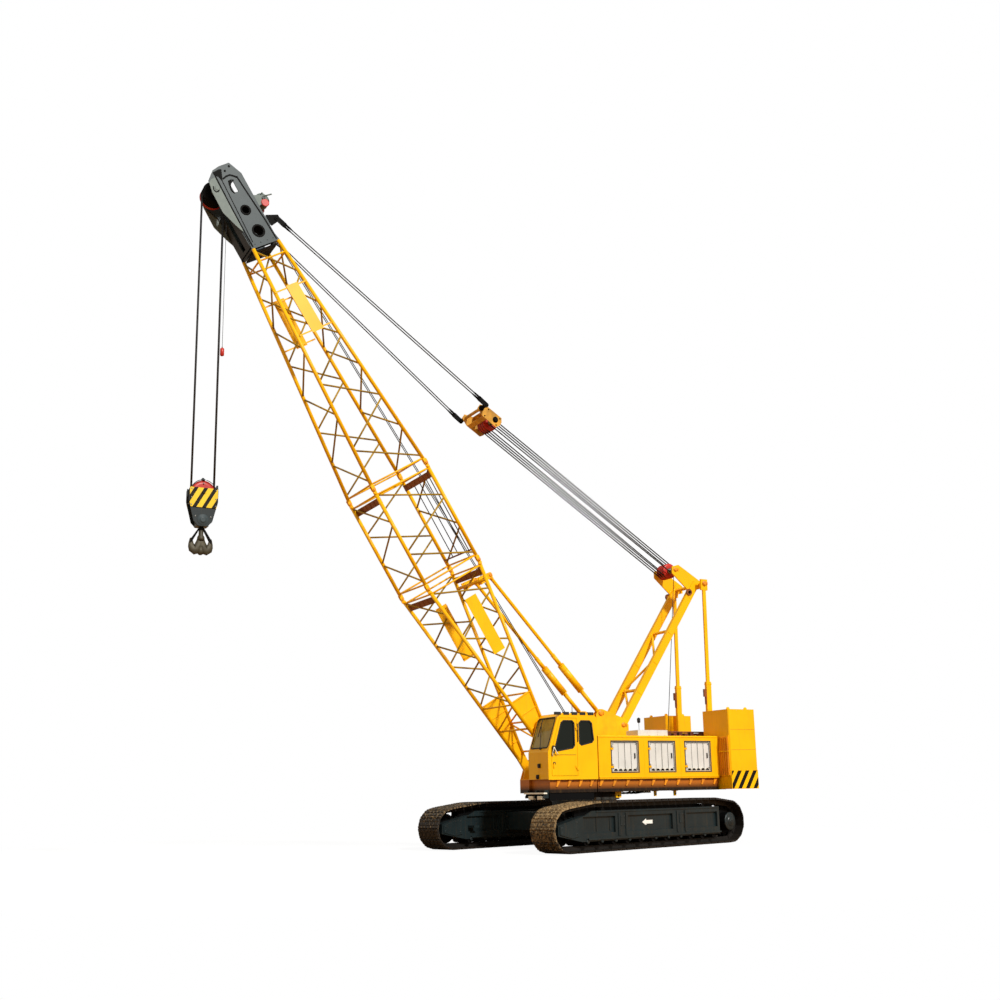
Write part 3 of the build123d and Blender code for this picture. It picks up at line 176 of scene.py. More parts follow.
def surface(name, base, rough=0.4, metallic=0.0, tone="#000000", tone_share=0.0, tone_scale=1.2, dust=0.0,
            dust_colour="#A08F70", streaks=0.0, bump=0.0, bump_scale=120.0, coat=0.0, shine=0.5, mud=None, below=(),
            painted_underside_shade=None, turned=-0.5, stripes=None):
    """A painted or bare surface with a drifting tone, dust on what faces up, rain streaks, mud and a fine bump."""
    mat = bpy.data.materials.new(name)
    tree = blank(mat)
    spot = add(tree, "TexCoord").outputs["Object"]
    place = add(tree, "SeparateXYZ", {"Vector": spot}).outputs
    upward = add(tree, "SeparateXYZ", {"Vector": add(tree, "NewGeometry").outputs["Normal"]}).outputs["Z"]
    drift = ramp(tree, noise(tree, spot, tone_scale, 6.0, 0.6), 0.38, 0.72, 0.0, tone_share)
    colour = cover(tree, drift, srgb(base), tone)
    shader = {"Coat Weight": coat, "Coat Roughness": 0.12, "Specular IOR Level": shine, "Roughness": rough,
              "Metallic": metallic}
    if not metallic:
        shader["IOR"] = 1.45
    if stripes:
        # bands of a second colour that rise towards the rear: (colour, width in m, slope, share)
        second, wide, slope, part = stripes
        line = reckon(tree, "SUBTRACT", place["Y"], reckon(tree, "MULTIPLY", place["Z"], slope))
        band = reckon(tree, "LESS_THAN", reckon(tree, "FRACT", reckon(tree, "DIVIDE", line, wide)), part)
        colour = cover(tree, band, colour, second)
    # painted shade: bands that darken what lies below a level, and a colour laid on what faces down
    for level, deep, shade in below:
        colour = cover(tree, ramp(tree, place["Z"], level, level - deep), colour, shade)
    if painted_underside_shade:
        colour = cover(tree, ramp(tree, upward, turned, turned - 0.15), colour, painted_underside_shade)
    if streaks:
        run = add(tree, "Mapping", {"Vector": spot, "Scale": (9.0, 9.0, 0.7)}).outputs[0]
        colour = cover(tree, ramp(tree, noise(tree, run, 1.6, 5.0, 0.65), 0.52, 0.8, 0.0, streaks), colour, "#7A5A28")
    if dust:
        grain = ramp(tree, noise(tree, spot, 7.0, 8.0, 0.7), 0.35, 0.75, 0.0, dust)
        lying = reckon(tree, "MULTIPLY", ramp(tree, upward, -0.2, 1.0, 0.12), grain)
        colour = cover(tree, lying, colour, dust_colour)
        shader["Roughness"] = ramp(tree, lying, 0.0, 1.0, rough, 0.9)
    if mud:
        stain = add(tree, "Attribute", attribute_name="mud").outputs["Fac"]
        caked = ramp(tree, reckon(tree, "ADD", stain, noise(tree, spot, 16.0, 8.0, 0.75)), 0.95, 1.15)
        colour = cover(tree, caked, colour, mud)
        shader["Roughness"] = ramp(tree, caked, 0.0, 1.0, rough, 0.95)
        shader["Metallic"] = ramp(tree, caked, 0.0, 1.0, metallic, 0.0)
    if bump:
        fine = noise(tree, spot, bump_scale, 3.0)
        shader["Normal"] = add(tree, "Bump", {"Height": fine, "Strength": bump, "Distance": 0.004})
    add(tree, "OutputMaterial", {"Surface": add(tree, "BsdfPrincipled", {"Base Color": colour, **shader})})
    return mat


# Cast shoes: dark and dull with a grainy skin, tan and chalky where mud cakes them.
shoe_steel = surface("worn manganese cast steel", "#181716", rough=0.55, metallic=0.4, tone="#2E2722", tone_share=0.6,
                     dust=0.12, dust_colour="#4A3D2E", bump=0.4, bump_scale=30.0, mud="#9A8058")
sides = ((1, "left"), (-1, "right"))
beside = {"turn": math.radians(15.4), "move": (2.14, 0, 0)}
shoe_half, link_half, pin_half, chain_depth, shoe_total = 0.415, 0.15, 0.095, 0.16, 57
track_high, front_centre, turn_front, rear_centre, turn_rear = 1.24, -3.34, 0.56, 3.32, 0.58
# where the runs of the loop meet, from the foot of the idler to the rear and back over the top
meets = ((front_centre, 0), (rear_centre, 0), (rear_centre, 1.16), (rear_centre - 0.7, track_high),
         (front_centre + 1.0, track_high), (front_centre, 1.12))
bends = {1: (rear_centre, turn_rear, -90), 5: (front_centre, turn_front, 90)}
runs = [math.pi * bends[i][1] if i in bends else math.dist(meets[i], meets[i + 1]) for i in range(6)]
loop_long = sum(runs)


def on_loop(way, inset):
    """(y, z) of the track's outer line after so many metres from the foot of the idler, moved in by inset."""
    way %= loop_long
    leg = 0
    while leg < 5 and way >= runs[leg]:
        way -= runs[leg]
        leg += 1
    share = way / runs[leg]
    if leg in bends:
        centre, radius, start = bends[leg]
        a = math.radians(start + 180 * share)
        return centre + (radius - inset) * math.cos(a), radius + (radius - inset) * math.sin(a)
    (y0, z0), (y1, z1) = meets[leg], meets[leg + 1]
    return y0 + (y1 - y0) * share, z0 + (z1 - z0) * share + (inset if leg == 0 else -inset)


def solid(bm, low_ring, high_ring, slot=0):
    """A prism between two lists of points."""
    low = [bm.verts.new(p) for p in low_ring]
    high = [bm.verts.new(p) for p in high_ring]
    made = [bm.faces.new(low[::-1]), bm.faces.new(high)]
    for i in range(len(low)):
        j = (i + 1) % len(low)
        made.append(bm.faces.new((low[i], low[j], high[j], high[i])))
    for face in made:
        face.material_index = slot


def break_edges(obj, wide):
    """A small bevel on the sharp edges, as real steel work has."""
    edge = obj.modifiers.new("broken edges", "BEVEL")
    edge.width, edge.segments, edge.limit_method, edge.angle_limit = wide, 1, "ANGLE", math.radians(40)


def piece(name, bm, mats, body, replaced=(), bevel=0.0, turn=0.0, move=(0, 0, 0), side=1):
    """Ends a mesh that was drawn in metres about the slewing axis, or about move, on the left side or the right one."""
    bm.transform(Matrix.Diagonal((side, 1, 1, 1)) @ Matrix.Translation(move))
    bmesh.ops.recalc_face_normals(bm, faces=bm.faces)
    bm.transform(Matrix.Translation((0, slew_axis_y, 0)) @ Matrix.Rotation(turn, 4, "Z"))
    mesh = bpy.data.meshes.new(name)
    bm.to_mesh(mesh)
    bm.free()
    obj = bpy.data.objects.new(name, mesh)
    scene.collection.objects.link(obj)
    for mat in mats:
        mesh.materials.append(mat)
    if bevel:
        break_edges(obj, bevel)
    if replaced:
        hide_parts(*replaced)
    if body:
        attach(obj, body)
    return obj


def shoe(bm, layer, way, soil):
    """One shoe with its cleats and its two links. Along the loop it lies between the joints beside it."""
    pitch = loop_long / shoe_total
    y0, z0 = on_loop(way - pitch * 0.46, 0)
    y1, z1 = on_loop(way + pitch * 0.46, 0)
    run = Vector((0, y1 - y0, z1 - z0))
    mid = Vector((0, (y0 + y1) / 2, (z0 + z1) / 2))
    along = run.normalized()
    inward = Vector((0, -along.z, along.y))

    def part(x, a, depth, narrow, dirt):
        rings = []
        for d, n in ((depth[0], narrow), (depth[1], 0.0)):
            rings.append([mid + along * s + inward * d + Vector((t, 0, 0)) for t, s in
                          ((x[0] + n, a[0] + n), (x[1] - n, a[0] + n), (x[1] - n, a[1] - n), (x[0] + n, a[1] - n))])
        before = len(bm.verts)
        solid(bm, rings[1], rings[0])
        bm.verts.ensure_lookup_table()
        for vert in bm.verts[before:]:
            vert[layer] = dirt

    half = run.length / 2
    part((-shoe_half, shoe_half), (-half, half), (0.022, 0.055), 0.004, soil)
    for count, row in ((6, (-half + 0.012, -0.055)), (5, (-0.035, 0.055)), (6, (0.078, half - 0.012))):
        wide = 2 * shoe_half / count
        for j in range(count):
            x = -shoe_half + j * wide
            part((x + 0.016, x + wide - 0.016), row, (0.001, 0.024), 0.008, soil * 0.93)
    for x in ((-link_half, -pin_half), (pin_half, link_half)):
        part(x, (-half - 0.01, half + 0.01), (0.055, chain_depth), 0.0, soil * 0.3)
    part((-pin_half, pin_half), (-0.045, 0.045), (0.07, chain_depth - 0.02), 0.0, soil * 0.3)


for side, word in sides:
    bm = bmesh.new()
    layer = bm.verts.layers.float.new("mud")
    for i in range(shoe_total):
        way = (i + 0.5) * loop_long / shoe_total
        y, z = on_loop(way, 0)
        soil = 0.16
        if y < -2.3 and z > 0.12:
            soil = 0.46 + 0.17 * min(1.0, z / 1.1)
        elif z > 1.0:
            soil = 0.54 - 0.28 * min(1.0, (y + 2.3) / 1.2) if y < 1.2 else 0.24
        # the right track, on the far side, gets less mud so that it renders darker: painted shade
        shoe(bm, layer, way, soil - (0.12 if side < 0 else 0))
    piece(f"shoes_{word}", bm, [shoe_steel], "undercarriage", [f"track_{word}"], side=side, **beside)


# Crawler side frames and their wheels: welded box beams with sunk panels, double posts between them, a bolted hub
# cover over the final drive, a travel arrow sprayed on the middle panel, and rollers that stand in greasy dirt.

# Black blue enamel, satin: its edges catch the sky, and dust greys what faces up.
black_enamel = surface("black blue enamel on steel", "#18262A", rough=0.4, tone="#0C1214", tone_share=0.6, dust=0.1,
                       dust_colour="#5D5A50", streaks=0.14, bump=0.08, bump_scale=40.0, shine=0.4)
# Black enamel under grease, with next to no shine. Where it closes gaps and hollows it is painted shade, so that they
# read as deep.
near_black_and_gap_shade = surface("black enamel, with painted shade in the gaps", "#060607", rough=0.65, tone="#0D0C0B", tone_share=0.5, bump=0.1,
                    shine=0.12)
# Stencilled white: flat and chalky, with thin spots.
white_decal = surface("white arrow, sprayed through a stencil", "#F4F4F0", rough=0.6, tone="#CFCFC8", tone_share=0.4,
                      tone_scale=9.0, dust=0.1, bump=0.05)


def circle(centre, axis, radius, count):
    """Points round a centre, square to an axis."""
    axis = Vector(axis).normalized()
    side = axis.cross(Vector((0, 0, 1)) if abs(axis.z) < 0.9 else Vector((0, 1, 0))).normalized()
    up = axis.cross(side)
    turns = [2 * math.pi * i / count for i in range(count)]
    return [Vector(centre) + (side * math.cos(a) + up * math.sin(a)) * radius for a in turns]


def lathe(bm, centre, axis, profile, count=24, slot=0, closed=True):
    """Turned part with so many sides: profile gives (distance along the axis, radius) from one end to the other."""
    axis = Vector(axis).normalized()
    rings = [[bm.verts.new(p) for p in circle(Vector(centre) + axis * along, axis, radius, count)]
             for along, radius in profile]
    for low, high in zip(rings, rings[1:]):
        for i in range(count):
            j = (i + 1) % count
            face = bm.faces.new((low[i], low[j], high[j], high[i]))
            face.material_index, face.smooth = slot, True
    if closed:
        bm.faces.new(rings[0][::-1]).material_index = slot
        bm.faces.new(rings[-1]).material_index = slot


def plate(bm, outline, x0, x1, slot=0):
    """A plate between two X planes whose outline is a list of (y, z)."""
    solid(bm, [(x0, y, z) for y, z in outline], [(x1, y, z) for y, z in outline], slot)


def block(bm, x, y, z, slot=0):
    """A box from three pairs of limits."""
    plate(bm, [(y[0], z[0]), (y[1], z[0]), (y[1], z[1]), (y[0], z[1])], x[0], x[1], slot)


def bolts(bm, places, axis, radius=0.014, high=0.012, slot=0):
    """Hexagon heads on washers at the places, standing up along the axis."""
    sink = Vector(axis).normalized() * 0.003
    for place in places:
        lathe(bm, Vector(place) - sink, axis, [(0, radius * 1.5), (0.005, radius * 1.5), (0.005, radius),
                                               (high + 0.003, radius)], 6, slot)


def mirrored(bm):
    """Repeats all that is drawn so far on the other side of the middle plane."""
    made = bmesh.ops.duplicate(bm, geom=bm.verts[:] + bm.edges[:] + bm.faces[:])["geom"]
    bmesh.ops.scale(bm, vec=(-1, 1, 1), verts=[v for v in made if isinstance(v, bmesh.types.BMVert)])


def paint(names, mat, bevel=0.0):
    """Gives CAD nodes their material, and breaks their sharp edges."""
    for name in names:
        mesh = nodes[name].data
        mesh.materials.clear()
        mesh.materials.append(mat)
        if bevel:
            break_edges(nodes[name], bevel)


paint(["crawler_frame_left", "crawler_frame_right"], black_enamel, 0.006)
paint(["rollers_left", "rollers_right", "idlers", "sprockets"], near_black_and_gap_shade, 0.004)
face = 0.35  # from the middle of a side frame to its side plate
for side, word in sides:
    bm = bmesh.new()
    # posts in pairs between the panels, with a bolted cover between them, and a flat edge under the top
    for y in (-1.44, -1.16, 0.93, 1.27):
        block(bm, (face, face + 0.02), (y - 0.035, y + 0.035), (0.37, 0.93))
    for y in (-1.30, 1.10):
        block(bm, (face, face + 0.012), (y - 0.085, y + 0.085), (0.6, 0.86))
        bolts(bm, [(face + 0.012, y + a, z) for a in (-0.06, 0.06) for z in (0.63, 0.83)], (1, 0, 0))
    block(bm, (face, face + 0.018), (-2.3, 2.76), (0.955, 0.985))
    # the idler's guard at the front, the ends of the first panel, and the rollers' pins
    plate(bm, [(-3.62, 0.46), (-3.62, 0.65), (-2.95, 0.80), (-2.95, 0.40), (-3.2, 0.36)], face, face + 0.02)
    bolts(bm, [(face + 0.02, y, z) for y, z in ((-3.55, 0.50), (-3.55, 0.62), (-3.02, 0.74), (-3.02, 0.46))], (1, 0, 0),
          0.018)
    for y in (-2.25, -1.75):
        block(bm, (face - 0.06, face - 0.045), (y, y + 0.02), (0.50, 0.84))
    for i in range(10):
        lathe(bm, (face - 0.045, -2.62 + i * 0.525, 0.262), (1, 0, 0), [(0, 0.05), (0.05, 0.05), (0.062, 0.036)], 10)
    # slide rails that bear the top run of the chain, cut out round the carrier rollers; their near black is painted
    # shade that closes the light between the frame and the top run
    plate(bm, [(-2.9, 0.80), (-2.12, 0.87), (-2.12, 1.078), (-2.34, 1.078), (-2.9, 1.011)], 0.10, 0.16, 1)
    block(bm, (0.10, 0.16), (-1.88, 2.0), (0.87, 1.079), 1)
    block(bm, (0.10, 0.16), (2.25, 2.75), (0.87, 1.064), 1)
    mirrored(bm)
    # hub cover of the final drive, on the outer side, with its ring of bolts and a plug
    lathe(bm, (0.30, rear_centre, turn_rear), (1, 0, 0),
          [(0, 0.245), (0.03, 0.245), (0.045, 0.225), (0.05, 0.14), (0.075, 0.12), (0.08, 0.05), (0.09, 0.045)], 28)
    bolts(bm, circle((0.342, rear_centre, turn_rear), (1, 0, 0), 0.195, 16), (1, 0, 0), 0.012)
    piece(f"frame_fittings_{word}", bm, [black_enamel, near_black_and_gap_shade], "undercarriage", bevel=0.003, side=side, **beside)
    bm = bmesh.new()
    plate(bm, [(-0.46, 0.668), (-0.30, 0.755), (-0.30, 0.715), (-0.04, 0.715), (-0.04, 0.625), (-0.30, 0.625),
               (-0.30, 0.585)], face - 0.0598, face - 0.058)
    piece(f"travel_arrow_{word}", bm, [white_decal], "undercarriage", side=side, **beside)


# Carbody, swivel and slewing ring: a fabricated turret between the crawlers, in greasy black blue enamel, with a
# circle of bolts, hydraulic hoses that leave the swivel for the final drives, and a toothed ring of turned steel.

# Turned steel: a clear metal shine, dulled in patches.
bare_steel = surface("turned bare steel", "#8A8B89", rough=0.35, metallic=1.0, tone="#5B5952", tone_share=0.5,
                     bump=0.05)


def pipe(bm, points, radius, count=8, slot=0):
    """Round bars from point to point."""
    for a, b in zip(points, points[1:]):
        way = Vector(b) - Vector(a)
        lathe(bm, a, way, [(0, radius), (way.length, radius)], count, slot)


paint(["carbody"], black_enamel, 0.008)
paint(["slewing_ring"], bare_steel, 0.003)
bm = bmesh.new()
bolts(bm, [(1.747, y + dy, z) for y in (-1.05, 1.05) for dy in (-0.26, -0.13, 0.13, 0.26) for z in (0.46, 0.82)],
      (-1, 0, 0), 0.02, 0.025)
for y in (0.35, 0.42, 0.49):
    pipe(bm, [(0.62, y, 0.98), (0.8, y, 0.90), (1.35, y, 0.72), (1.79, y, 0.78)], 0.018)
mirrored(bm)
bolts(bm, circle((0, 0, 1.309), (0, 0, 1), 0.93, 40), (0, 0, 1), 0.014, 0.02)
piece("carbody_fittings", bm, [black_enamel], "undercarriage", turn=beside["turn"])


# Deck of the upper works: box girders and side beams of welded plate with slanted ribs and a pressed lip, lamps and a
# bar under the cab, and short posts that hang below. Yellow enamel, browned where the light is low.

# Crane yellow, two-pack enamel on primed steel: a fairly sharp shine with a faint orange peel.
enamel_yellow = surface("crane yellow enamel", "#FDBE00", rough=0.38, tone="#EFA200", tone_share=0.4, dust=0.05,
                        dust_colour="#8A6E3A", streaks=0.14, bump=0.05, bump_scale=60.0, coat=0.03, shine=0.25)
# The same enamel low on the deck, with painted shade: brown on the beams below the deck's top edge, going near black
# towards their foot, and near black on what faces down.
deck_enamel_painted_shade = surface("crane yellow enamel, painted shade below", "#FFBE00", rough=0.4, tone="#E08A08", tone_share=0.45,
                      tone_scale=2.6, dust=0.08, streaks=0.3, bump=0.06, shine=0.3,
                      below=((1.797, 0.004, "#B4661A"), (1.66, 0.14, "#1C100A")), painted_underside_shade="#0E0C0A")
# The same enamel in painted shade, darker and orange, with stains as well, on beams, pins and ribs.
enamel_shaded = surface("crane yellow enamel on the deck's beams", "#F39A08", rough=0.45, tone="#B5651A",
                        tone_share=0.7, tone_scale=2.5, dust=0.1, streaks=0.35, bump=0.08)
# Cream enamel: satin, with dust in its corners.
cream_enamel = surface("cream enamel", "#EFE9D8", rough=0.45, tone="#CFC5AC", tone_share=0.3, dust=0.15, bump=0.04)
# Moulded lamp glass: a pale wet shine.
lamp_glass = surface("moulded clear lamp glass", "#E8DFC6", rough=0.12, tone="#B9AE92", tone_share=0.3, tone_scale=20.0,
                     coat=0.5)
# Silver grey enamel: an even satin with faint rain streaks.
silver_enamel = surface("silver grey enamel", "#DCDCD8", rough=0.4, tone="#B4B3AF", tone_share=0.35, tone_scale=3.0,
                        streaks=0.1, bump=0.04)
paint(["deck"], deck_enamel_painted_shade, 0.006)


def rib(bm, y, x0, x1, top):
    """A slanted rib of a deck beam, in the painted-shade copy of the enamel."""
    plate(bm, [(y - 0.05, 1.60), (y - 0.01, 1.60), (y + 0.11 - top, 1.785), (y - 0.01 + top, 1.785)], x0, x1, 2)


bm = bmesh.new()
for side, first, lip, count in ((1, -0.42, -0.5, 10), (-1, -0.98, -1.08, 11)):
    face = side * 1.52
    for i in range(count):
        rib(bm, first + i * 0.42, face, face + side * 0.03, 0)
    block(bm, (face - 0.03, face + 0.03), (first - 0.05, 3.5), (1.45, 1.468))
    block(bm, (side * 1.56, side * 1.606), (lip, 3.5), (1.778, 1.806), 1)
for i in range(4):
    rib(bm, -2.0 + i * 0.34, 1.92, 1.955, 0.01)
block(bm, (1.915, 1.95), (-2.2, -0.82), (1.45, 1.466))
block(bm, (1.96, 2.008), (-2.3, -0.8), (1.778, 1.806), 1)
for x, y0, y1, low in ((1.34, 0.13, 0.32, 1.29), (1.38, 1.37, 1.45, 1.31), (1.38, 2.03, 2.11, 1.31)):
    plate(bm, [(y0, 1.46), (y1, 1.46), (y1 - 0.01, low), (y0 + 0.01, low)], x, x + 0.05, 1)
    block(bm, (x - 0.05, x + 0.1), (y0 - 0.02, y1 + 0.02), (1.44, 1.452), 1)
    lathe(bm, (x + 0.05, (y0 + y1) / 2, low + 0.05), (1, 0, 0), [(0, 0.026), (0.014, 0.026), (0.014, 0.014),
                                                               (0.03, 0.014)], 10)
piece("deck_ribs", bm, [deck_enamel_painted_shade, enamel_yellow, enamel_shaded], "upper", bevel=0.002)

bm = bmesh.new()
# brackets, bar and work lamps under the front of the cab
for x in (0.93, 1.40, 1.86):
    plate(bm, [(-2.33, 1.52), (-2.24, 1.52), (-2.24, 1.32), (-2.40, 1.32), (-2.40, 1.36)], x, x + 0.02)
block(bm, (0.90, 1.93), (-2.42, -2.31), (1.425, 1.462), 1)
for x in (1.12, 1.58):
    block(bm, (x, x + 0.24), (-2.41, -2.32), (1.285, 1.375), 1)
    block(bm, (x + 0.02, x + 0.22), (-2.418, -2.41), (1.297, 1.363), 2)
# closed tool and battery box between the lamps and the slewing ring, near black as painted shade under the deck
block(bm, (0.92, 1.93), (-2.24, -0.9), (1.262, 1.448), 4)
for x in (1.25, 1.6):
    block(bm, (x, x + 0.012), (-2.252, -2.24), (1.27, 1.44), 4)
# hoses and a valve block that show between the girders
for y in (0.5, 0.63, 0.76, 0.89, 1.02):
    pipe(bm, [(0.60, y, 1.42), (0.95, y + 0.05, 1.39), (1.25, y + 0.12, 1.42), (1.42, y + 0.14, 1.47)], 0.017)
block(bm, (0.9, 1.3), (1.1, 1.34), (1.40, 1.50), 3)
bolts(bm, [(1.3, y, 1.45) for y in (1.15, 1.22, 1.29)], (1, 0, 0), 0.013, 0.014, 3)
pipe(bm, [(1.32, 1.18 + 0.09 * math.cos(a), 1.40 + 0.08 * math.sin(a)) for a in (i * math.pi / 8 for i in range(9))],
     0.02, 8, 1)
piece("deck_fittings", bm, [black_enamel, cream_enamel, lamp_glass, bare_steel, near_black_and_gap_shade], "upper", bevel=0.002)


def beam(bm, start, end, wide, deep, slot=0, across=(1, 0, 0)):
    """A rectangular bar whose width lies along the direction across."""
    start, end = Vector(start), Vector(end)
    way = (end - start).normalized()
    side = (Vector(across) - way * way.dot(Vector(across))).normalized()
    up = way.cross(side)
    corners = [side * a * wide / 2 + up * b * deep / 2 for a, b in ((-1, -1), (1, -1), (1, 1), (-1, 1))]
    solid(bm, [start + c for c in corners], [end + c for c in corners], slot)


bm = bmesh.new()
# tread plate with raised lozenges on the right walkway
block(bm, (-1.58, -0.88), (-1.08, -0.53), (1.81, 1.814))
for i in range(14):
    for j in range(11):
        x, y = -1.58 + (i + 0.5) * 0.05, -1.08 + (j + 0.5) * 0.05
        tilt = 0.016 if (i + j) % 2 else -0.016
        beam(bm, (x - 0.012, y - tilt, 1.8145), (x + 0.012, y + tilt, 1.8145), 0.007, 0.003, across=(0, 0, 1))
piece("walkway_tread", bm, [silver_enamel], "upper")


# Machine houses: folded sheet with a rain gutter along the roof, seams between the sheets, and on each side three
# silver doors with a centre fold, a side fold and small hooded vents along the foot.

# Slate grey enamel: satin, a little blue, with a dusty drift of tone.
slate_enamel = surface("slate grey enamel", "#3E4A4F", rough=0.42, tone="#2E393D", tone_share=0.6, tone_scale=3.0,
                       dust=0.08, dust_colour="#5F5F58", streaks=0.08, bump=0.1, shine=0.3)
paint(["house_left", "house_right"], enamel_yellow, 0.008)
wall, door_starts = 1.6, (-0.08, 1.14, 2.36)
for side, word in sides:
    bm = bmesh.new()
    for y in (-0.505, 0.96, 2.18, 3.38):
        block(bm, (wall, wall + 0.004), (y, y + 0.008), (1.815, 2.9))
    block(bm, (wall - 0.01, wall + 0.012), (-0.51, 3.5), (2.885, 2.902))
    block(bm, (wall, wall + 0.016), (-0.51, 3.5), (1.812, 1.84))
    for i in range(8):
        block(bm, (0.86, 1.54), (-0.35 + i * 0.52, -0.33 + i * 0.52), (2.93, 2.942))
    for y in door_starts:
        for y0, y1, z0, z1 in ((-0.035, -0.012, 1.955, 2.79), (0.847, 0.875, 1.955, 2.79),
                               (-0.035, 0.875, 2.768, 2.795), (-0.035, 0.875, 1.94, 1.962)):
            block(bm, (wall - 0.004, wall + 0.01), (y + y0, y + y1), (z0, z1), 1)
    # louvred outlet in the front wall
    for i in range(9):
        z = 2.15 + i * 0.06
        plate(bm, [(-0.53, z), (-0.508, z + 0.035), (-0.508, z + 0.045), (-0.535, z + 0.006)], 0.95, 1.42)
    piece(f"house_trim_{word}", bm, [enamel_yellow, slate_enamel], "upper", bevel=0.0015, side=side)
for side, word in sides:
    for i, start in enumerate(door_starts):
        paint([f"door_{word}_{i + 1}"], silver_enamel, 0.003)
        bm = bmesh.new()
        low, high = wall - 0.001, wall + 0.005
        for y0, y1, z0, z1 in ((0.015, 0.82, 2.735, 2.75), (0.808, 0.824, 1.99, 2.735), (0.41, 0.418, 2.04, 2.735),
                               (0.615, 0.621, 2.04, 2.735), (0.205, 0.209, 2.04, 2.735)):
            block(bm, (low, high), (start + y0, start + y1), (z0, z1), 1)
        # hooded vents along the foot, with a bright lip above each mouth; the mouths are flat near black half discs,
        # painted shade for the hollow behind
        for k in range(5):
            y = start + 0.10 + k * 0.155
            turns = [j * math.pi / 7 for j in range(8)]
            end = high + 0.004 if side > 0 else high
            first = low if side > 0 else low - 0.004
            plate(bm, [(y + 0.055 * math.cos(a), 1.992 + 0.048 * math.sin(a)) for a in turns], first, end, 2)
            rim = [(wall + 0.006, y + 0.066 * math.cos(a), 1.992 + 0.062 * math.sin(a)) for a in turns]
            for a, b in zip(rim, rim[1:]):
                beam(bm, a, b, 0.016, 0.008, 3)
        block(bm, (low, high + 0.012), (start + 0.725, start + 0.75), (2.32, 2.46), 2)
        bolts(bm, [(wall + 0.004, start + a, b) for a in (0.04, 0.78) for b in (2.06, 2.70)], (1, 0, 0), 0.009,
              0.006, 1)
        piece(f"door_face_{word}_{i + 1}", bm, [silver_enamel, slate_enamel, near_black_and_gap_shade, cream_enamel],
              f"door_{word}_{i + 1}", side=side)


# Cab: pressed and welded shell with rubber seals round tinted panes, a row of short black strips along the roof edge,
# work lamps, a mirror on a bent arm, and inside a cloth seat and a console with levers.
def pane_glass(name, tint, through, side_tint):
    """Tinted safety glass: mostly a dark reflecting sheet, through which a share of light passes."""
    mat = bpy.data.materials.new(name)
    tree = blank(mat)
    film = noise(tree, add(tree, "TexCoord").outputs["Object"], 2.2, 4.0)
    turn = add(tree, "SeparateXYZ", {"Vector": add(tree, "NewGeometry").outputs["Normal"]}).outputs["X"]
    sideways = reckon(tree, "GREATER_THAN", reckon(tree, "MULTIPLY", turn, turn), 0.5)
    shade = cover(tree, sideways, srgb(tint), side_tint)
    sheet = add(tree, "BsdfPrincipled", {"Base Color": shade, "IOR": 1.52,
                                         "Roughness": ramp(tree, film, 0.35, 0.7, 0.02, 0.12)})
    clear = add(tree, "BsdfTransparent", {"Color": shade})
    add(tree, "OutputMaterial", {"Surface": add(tree, "MixShader", {0: 1 - through, 1: clear, 2: sheet})})
    return mat


# Side panes: near black, with a soft reflection of the sky.
side_glass = pane_glass("green tinted safety glass", "#161F1A", 0.4, "#161F1A")
# Screen: a painted reflection in sand colour where it faces ahead, dark on its sides.
screen_glass_painted_reflection = pane_glass("laminated screen with a painted sand reflection", "#C2AE62", 0.4, "#161F1A")
# Black ABS: matt, with a fine moulded grain.
black_abs = surface("moulded black ABS", "#161718", rough=0.6, tone="#252627", tone_share=0.3, bump=0.2,
                    bump_scale=400.0)
# Woven cloth: no shine, a fine weave.
seat_cloth = surface("woven polyester seat cloth", "#202226", rough=0.9, tone="#34373C", tone_share=0.6,
                     tone_scale=220.0, bump=0.6, bump_scale=600.0)
paint(["cab_shell", "cab_door"], enamel_yellow, 0.010)
paint(["cab_glass"], screen_glass_painted_reflection)
paint(["cab_door_glass"], side_glass)


def cut_corners(points, cut):
    """Cuts each corner of a closed line back by the same length."""
    made = []
    for i, p in enumerate(points):
        p = Vector(p)
        for q in (Vector(points[i - 1]), Vector(points[(i + 1) % len(points)])):
            made.append(tuple(p + (q - p).normalized() * cut))
    return made


def seal(bm, pane, x0, x1, wide):
    """A narrow rubber frame along a pane given by its corners in (y, z)."""
    points = [Vector(((x0 + x1) / 2, y, z)) for y, z in cut_corners(pane, 0.06)]
    for a, b in zip(points, points[1:] + points[:1]):
        way = (b - a).normalized() * wide * 0.3
        beam(bm, a - way, b + way, x1 - x0, wide)


def screen_seal(bm, middle, up, half, high, deep):
    """A narrow rubber frame round a pane across the cab: its middle, upward direction and half sizes."""
    square = Vector((0, -up.z, up.y)) if up.y else Vector((0, 1, 0))
    corners = cut_corners([(-half, -high), (half, -high), (half, high), (-half, high)], 0.045)
    line = [middle + Vector((x, 0, 0)) + up * y for x, y in corners]
    for a, b in zip(line, line[1:] + line[:1]):
        beam(bm, a, b, 0.034, deep, across=tuple(square.cross(b - a)))


door_pane = [(-2.11, 2.49), (-1.87, 3.279), (-1.495, 3.279), (-1.495, 2.59)]
rear_pane = [(-1.34, 2.64), (-1.34, 3.279), (-0.96, 3.279), (-0.90, 2.74)]
bm = bmesh.new()
seal(bm, rear_pane, 1.996, 2.011, 0.034)
seal(bm, door_pane, 0.979, 0.994, 0.034)
seal(bm, rear_pane, 0.979, 0.994, 0.034)
low, high = Vector((1.495, -2.3, 2.48)), Vector((1.495, -1.96, 3.474))
way = (high - low).normalized()
out = Vector((0, -way.z, way.y))
screen_seal(bm, (low + high) / 2 + out * 0.004, way, 0.435, (high - low).length / 2 - 0.115, 0.016)
screen_seal(bm, Vector((1.495, -0.794, 2.974)), Vector((0, 0, 1)), 0.38, 0.28, 0.014)
# strips along the roof's near edge
for k in range(5):
    y = -2.06 + k * 0.25
    block(bm, (1.95, 2.015), (y, y + 0.175), (3.43, 3.505))
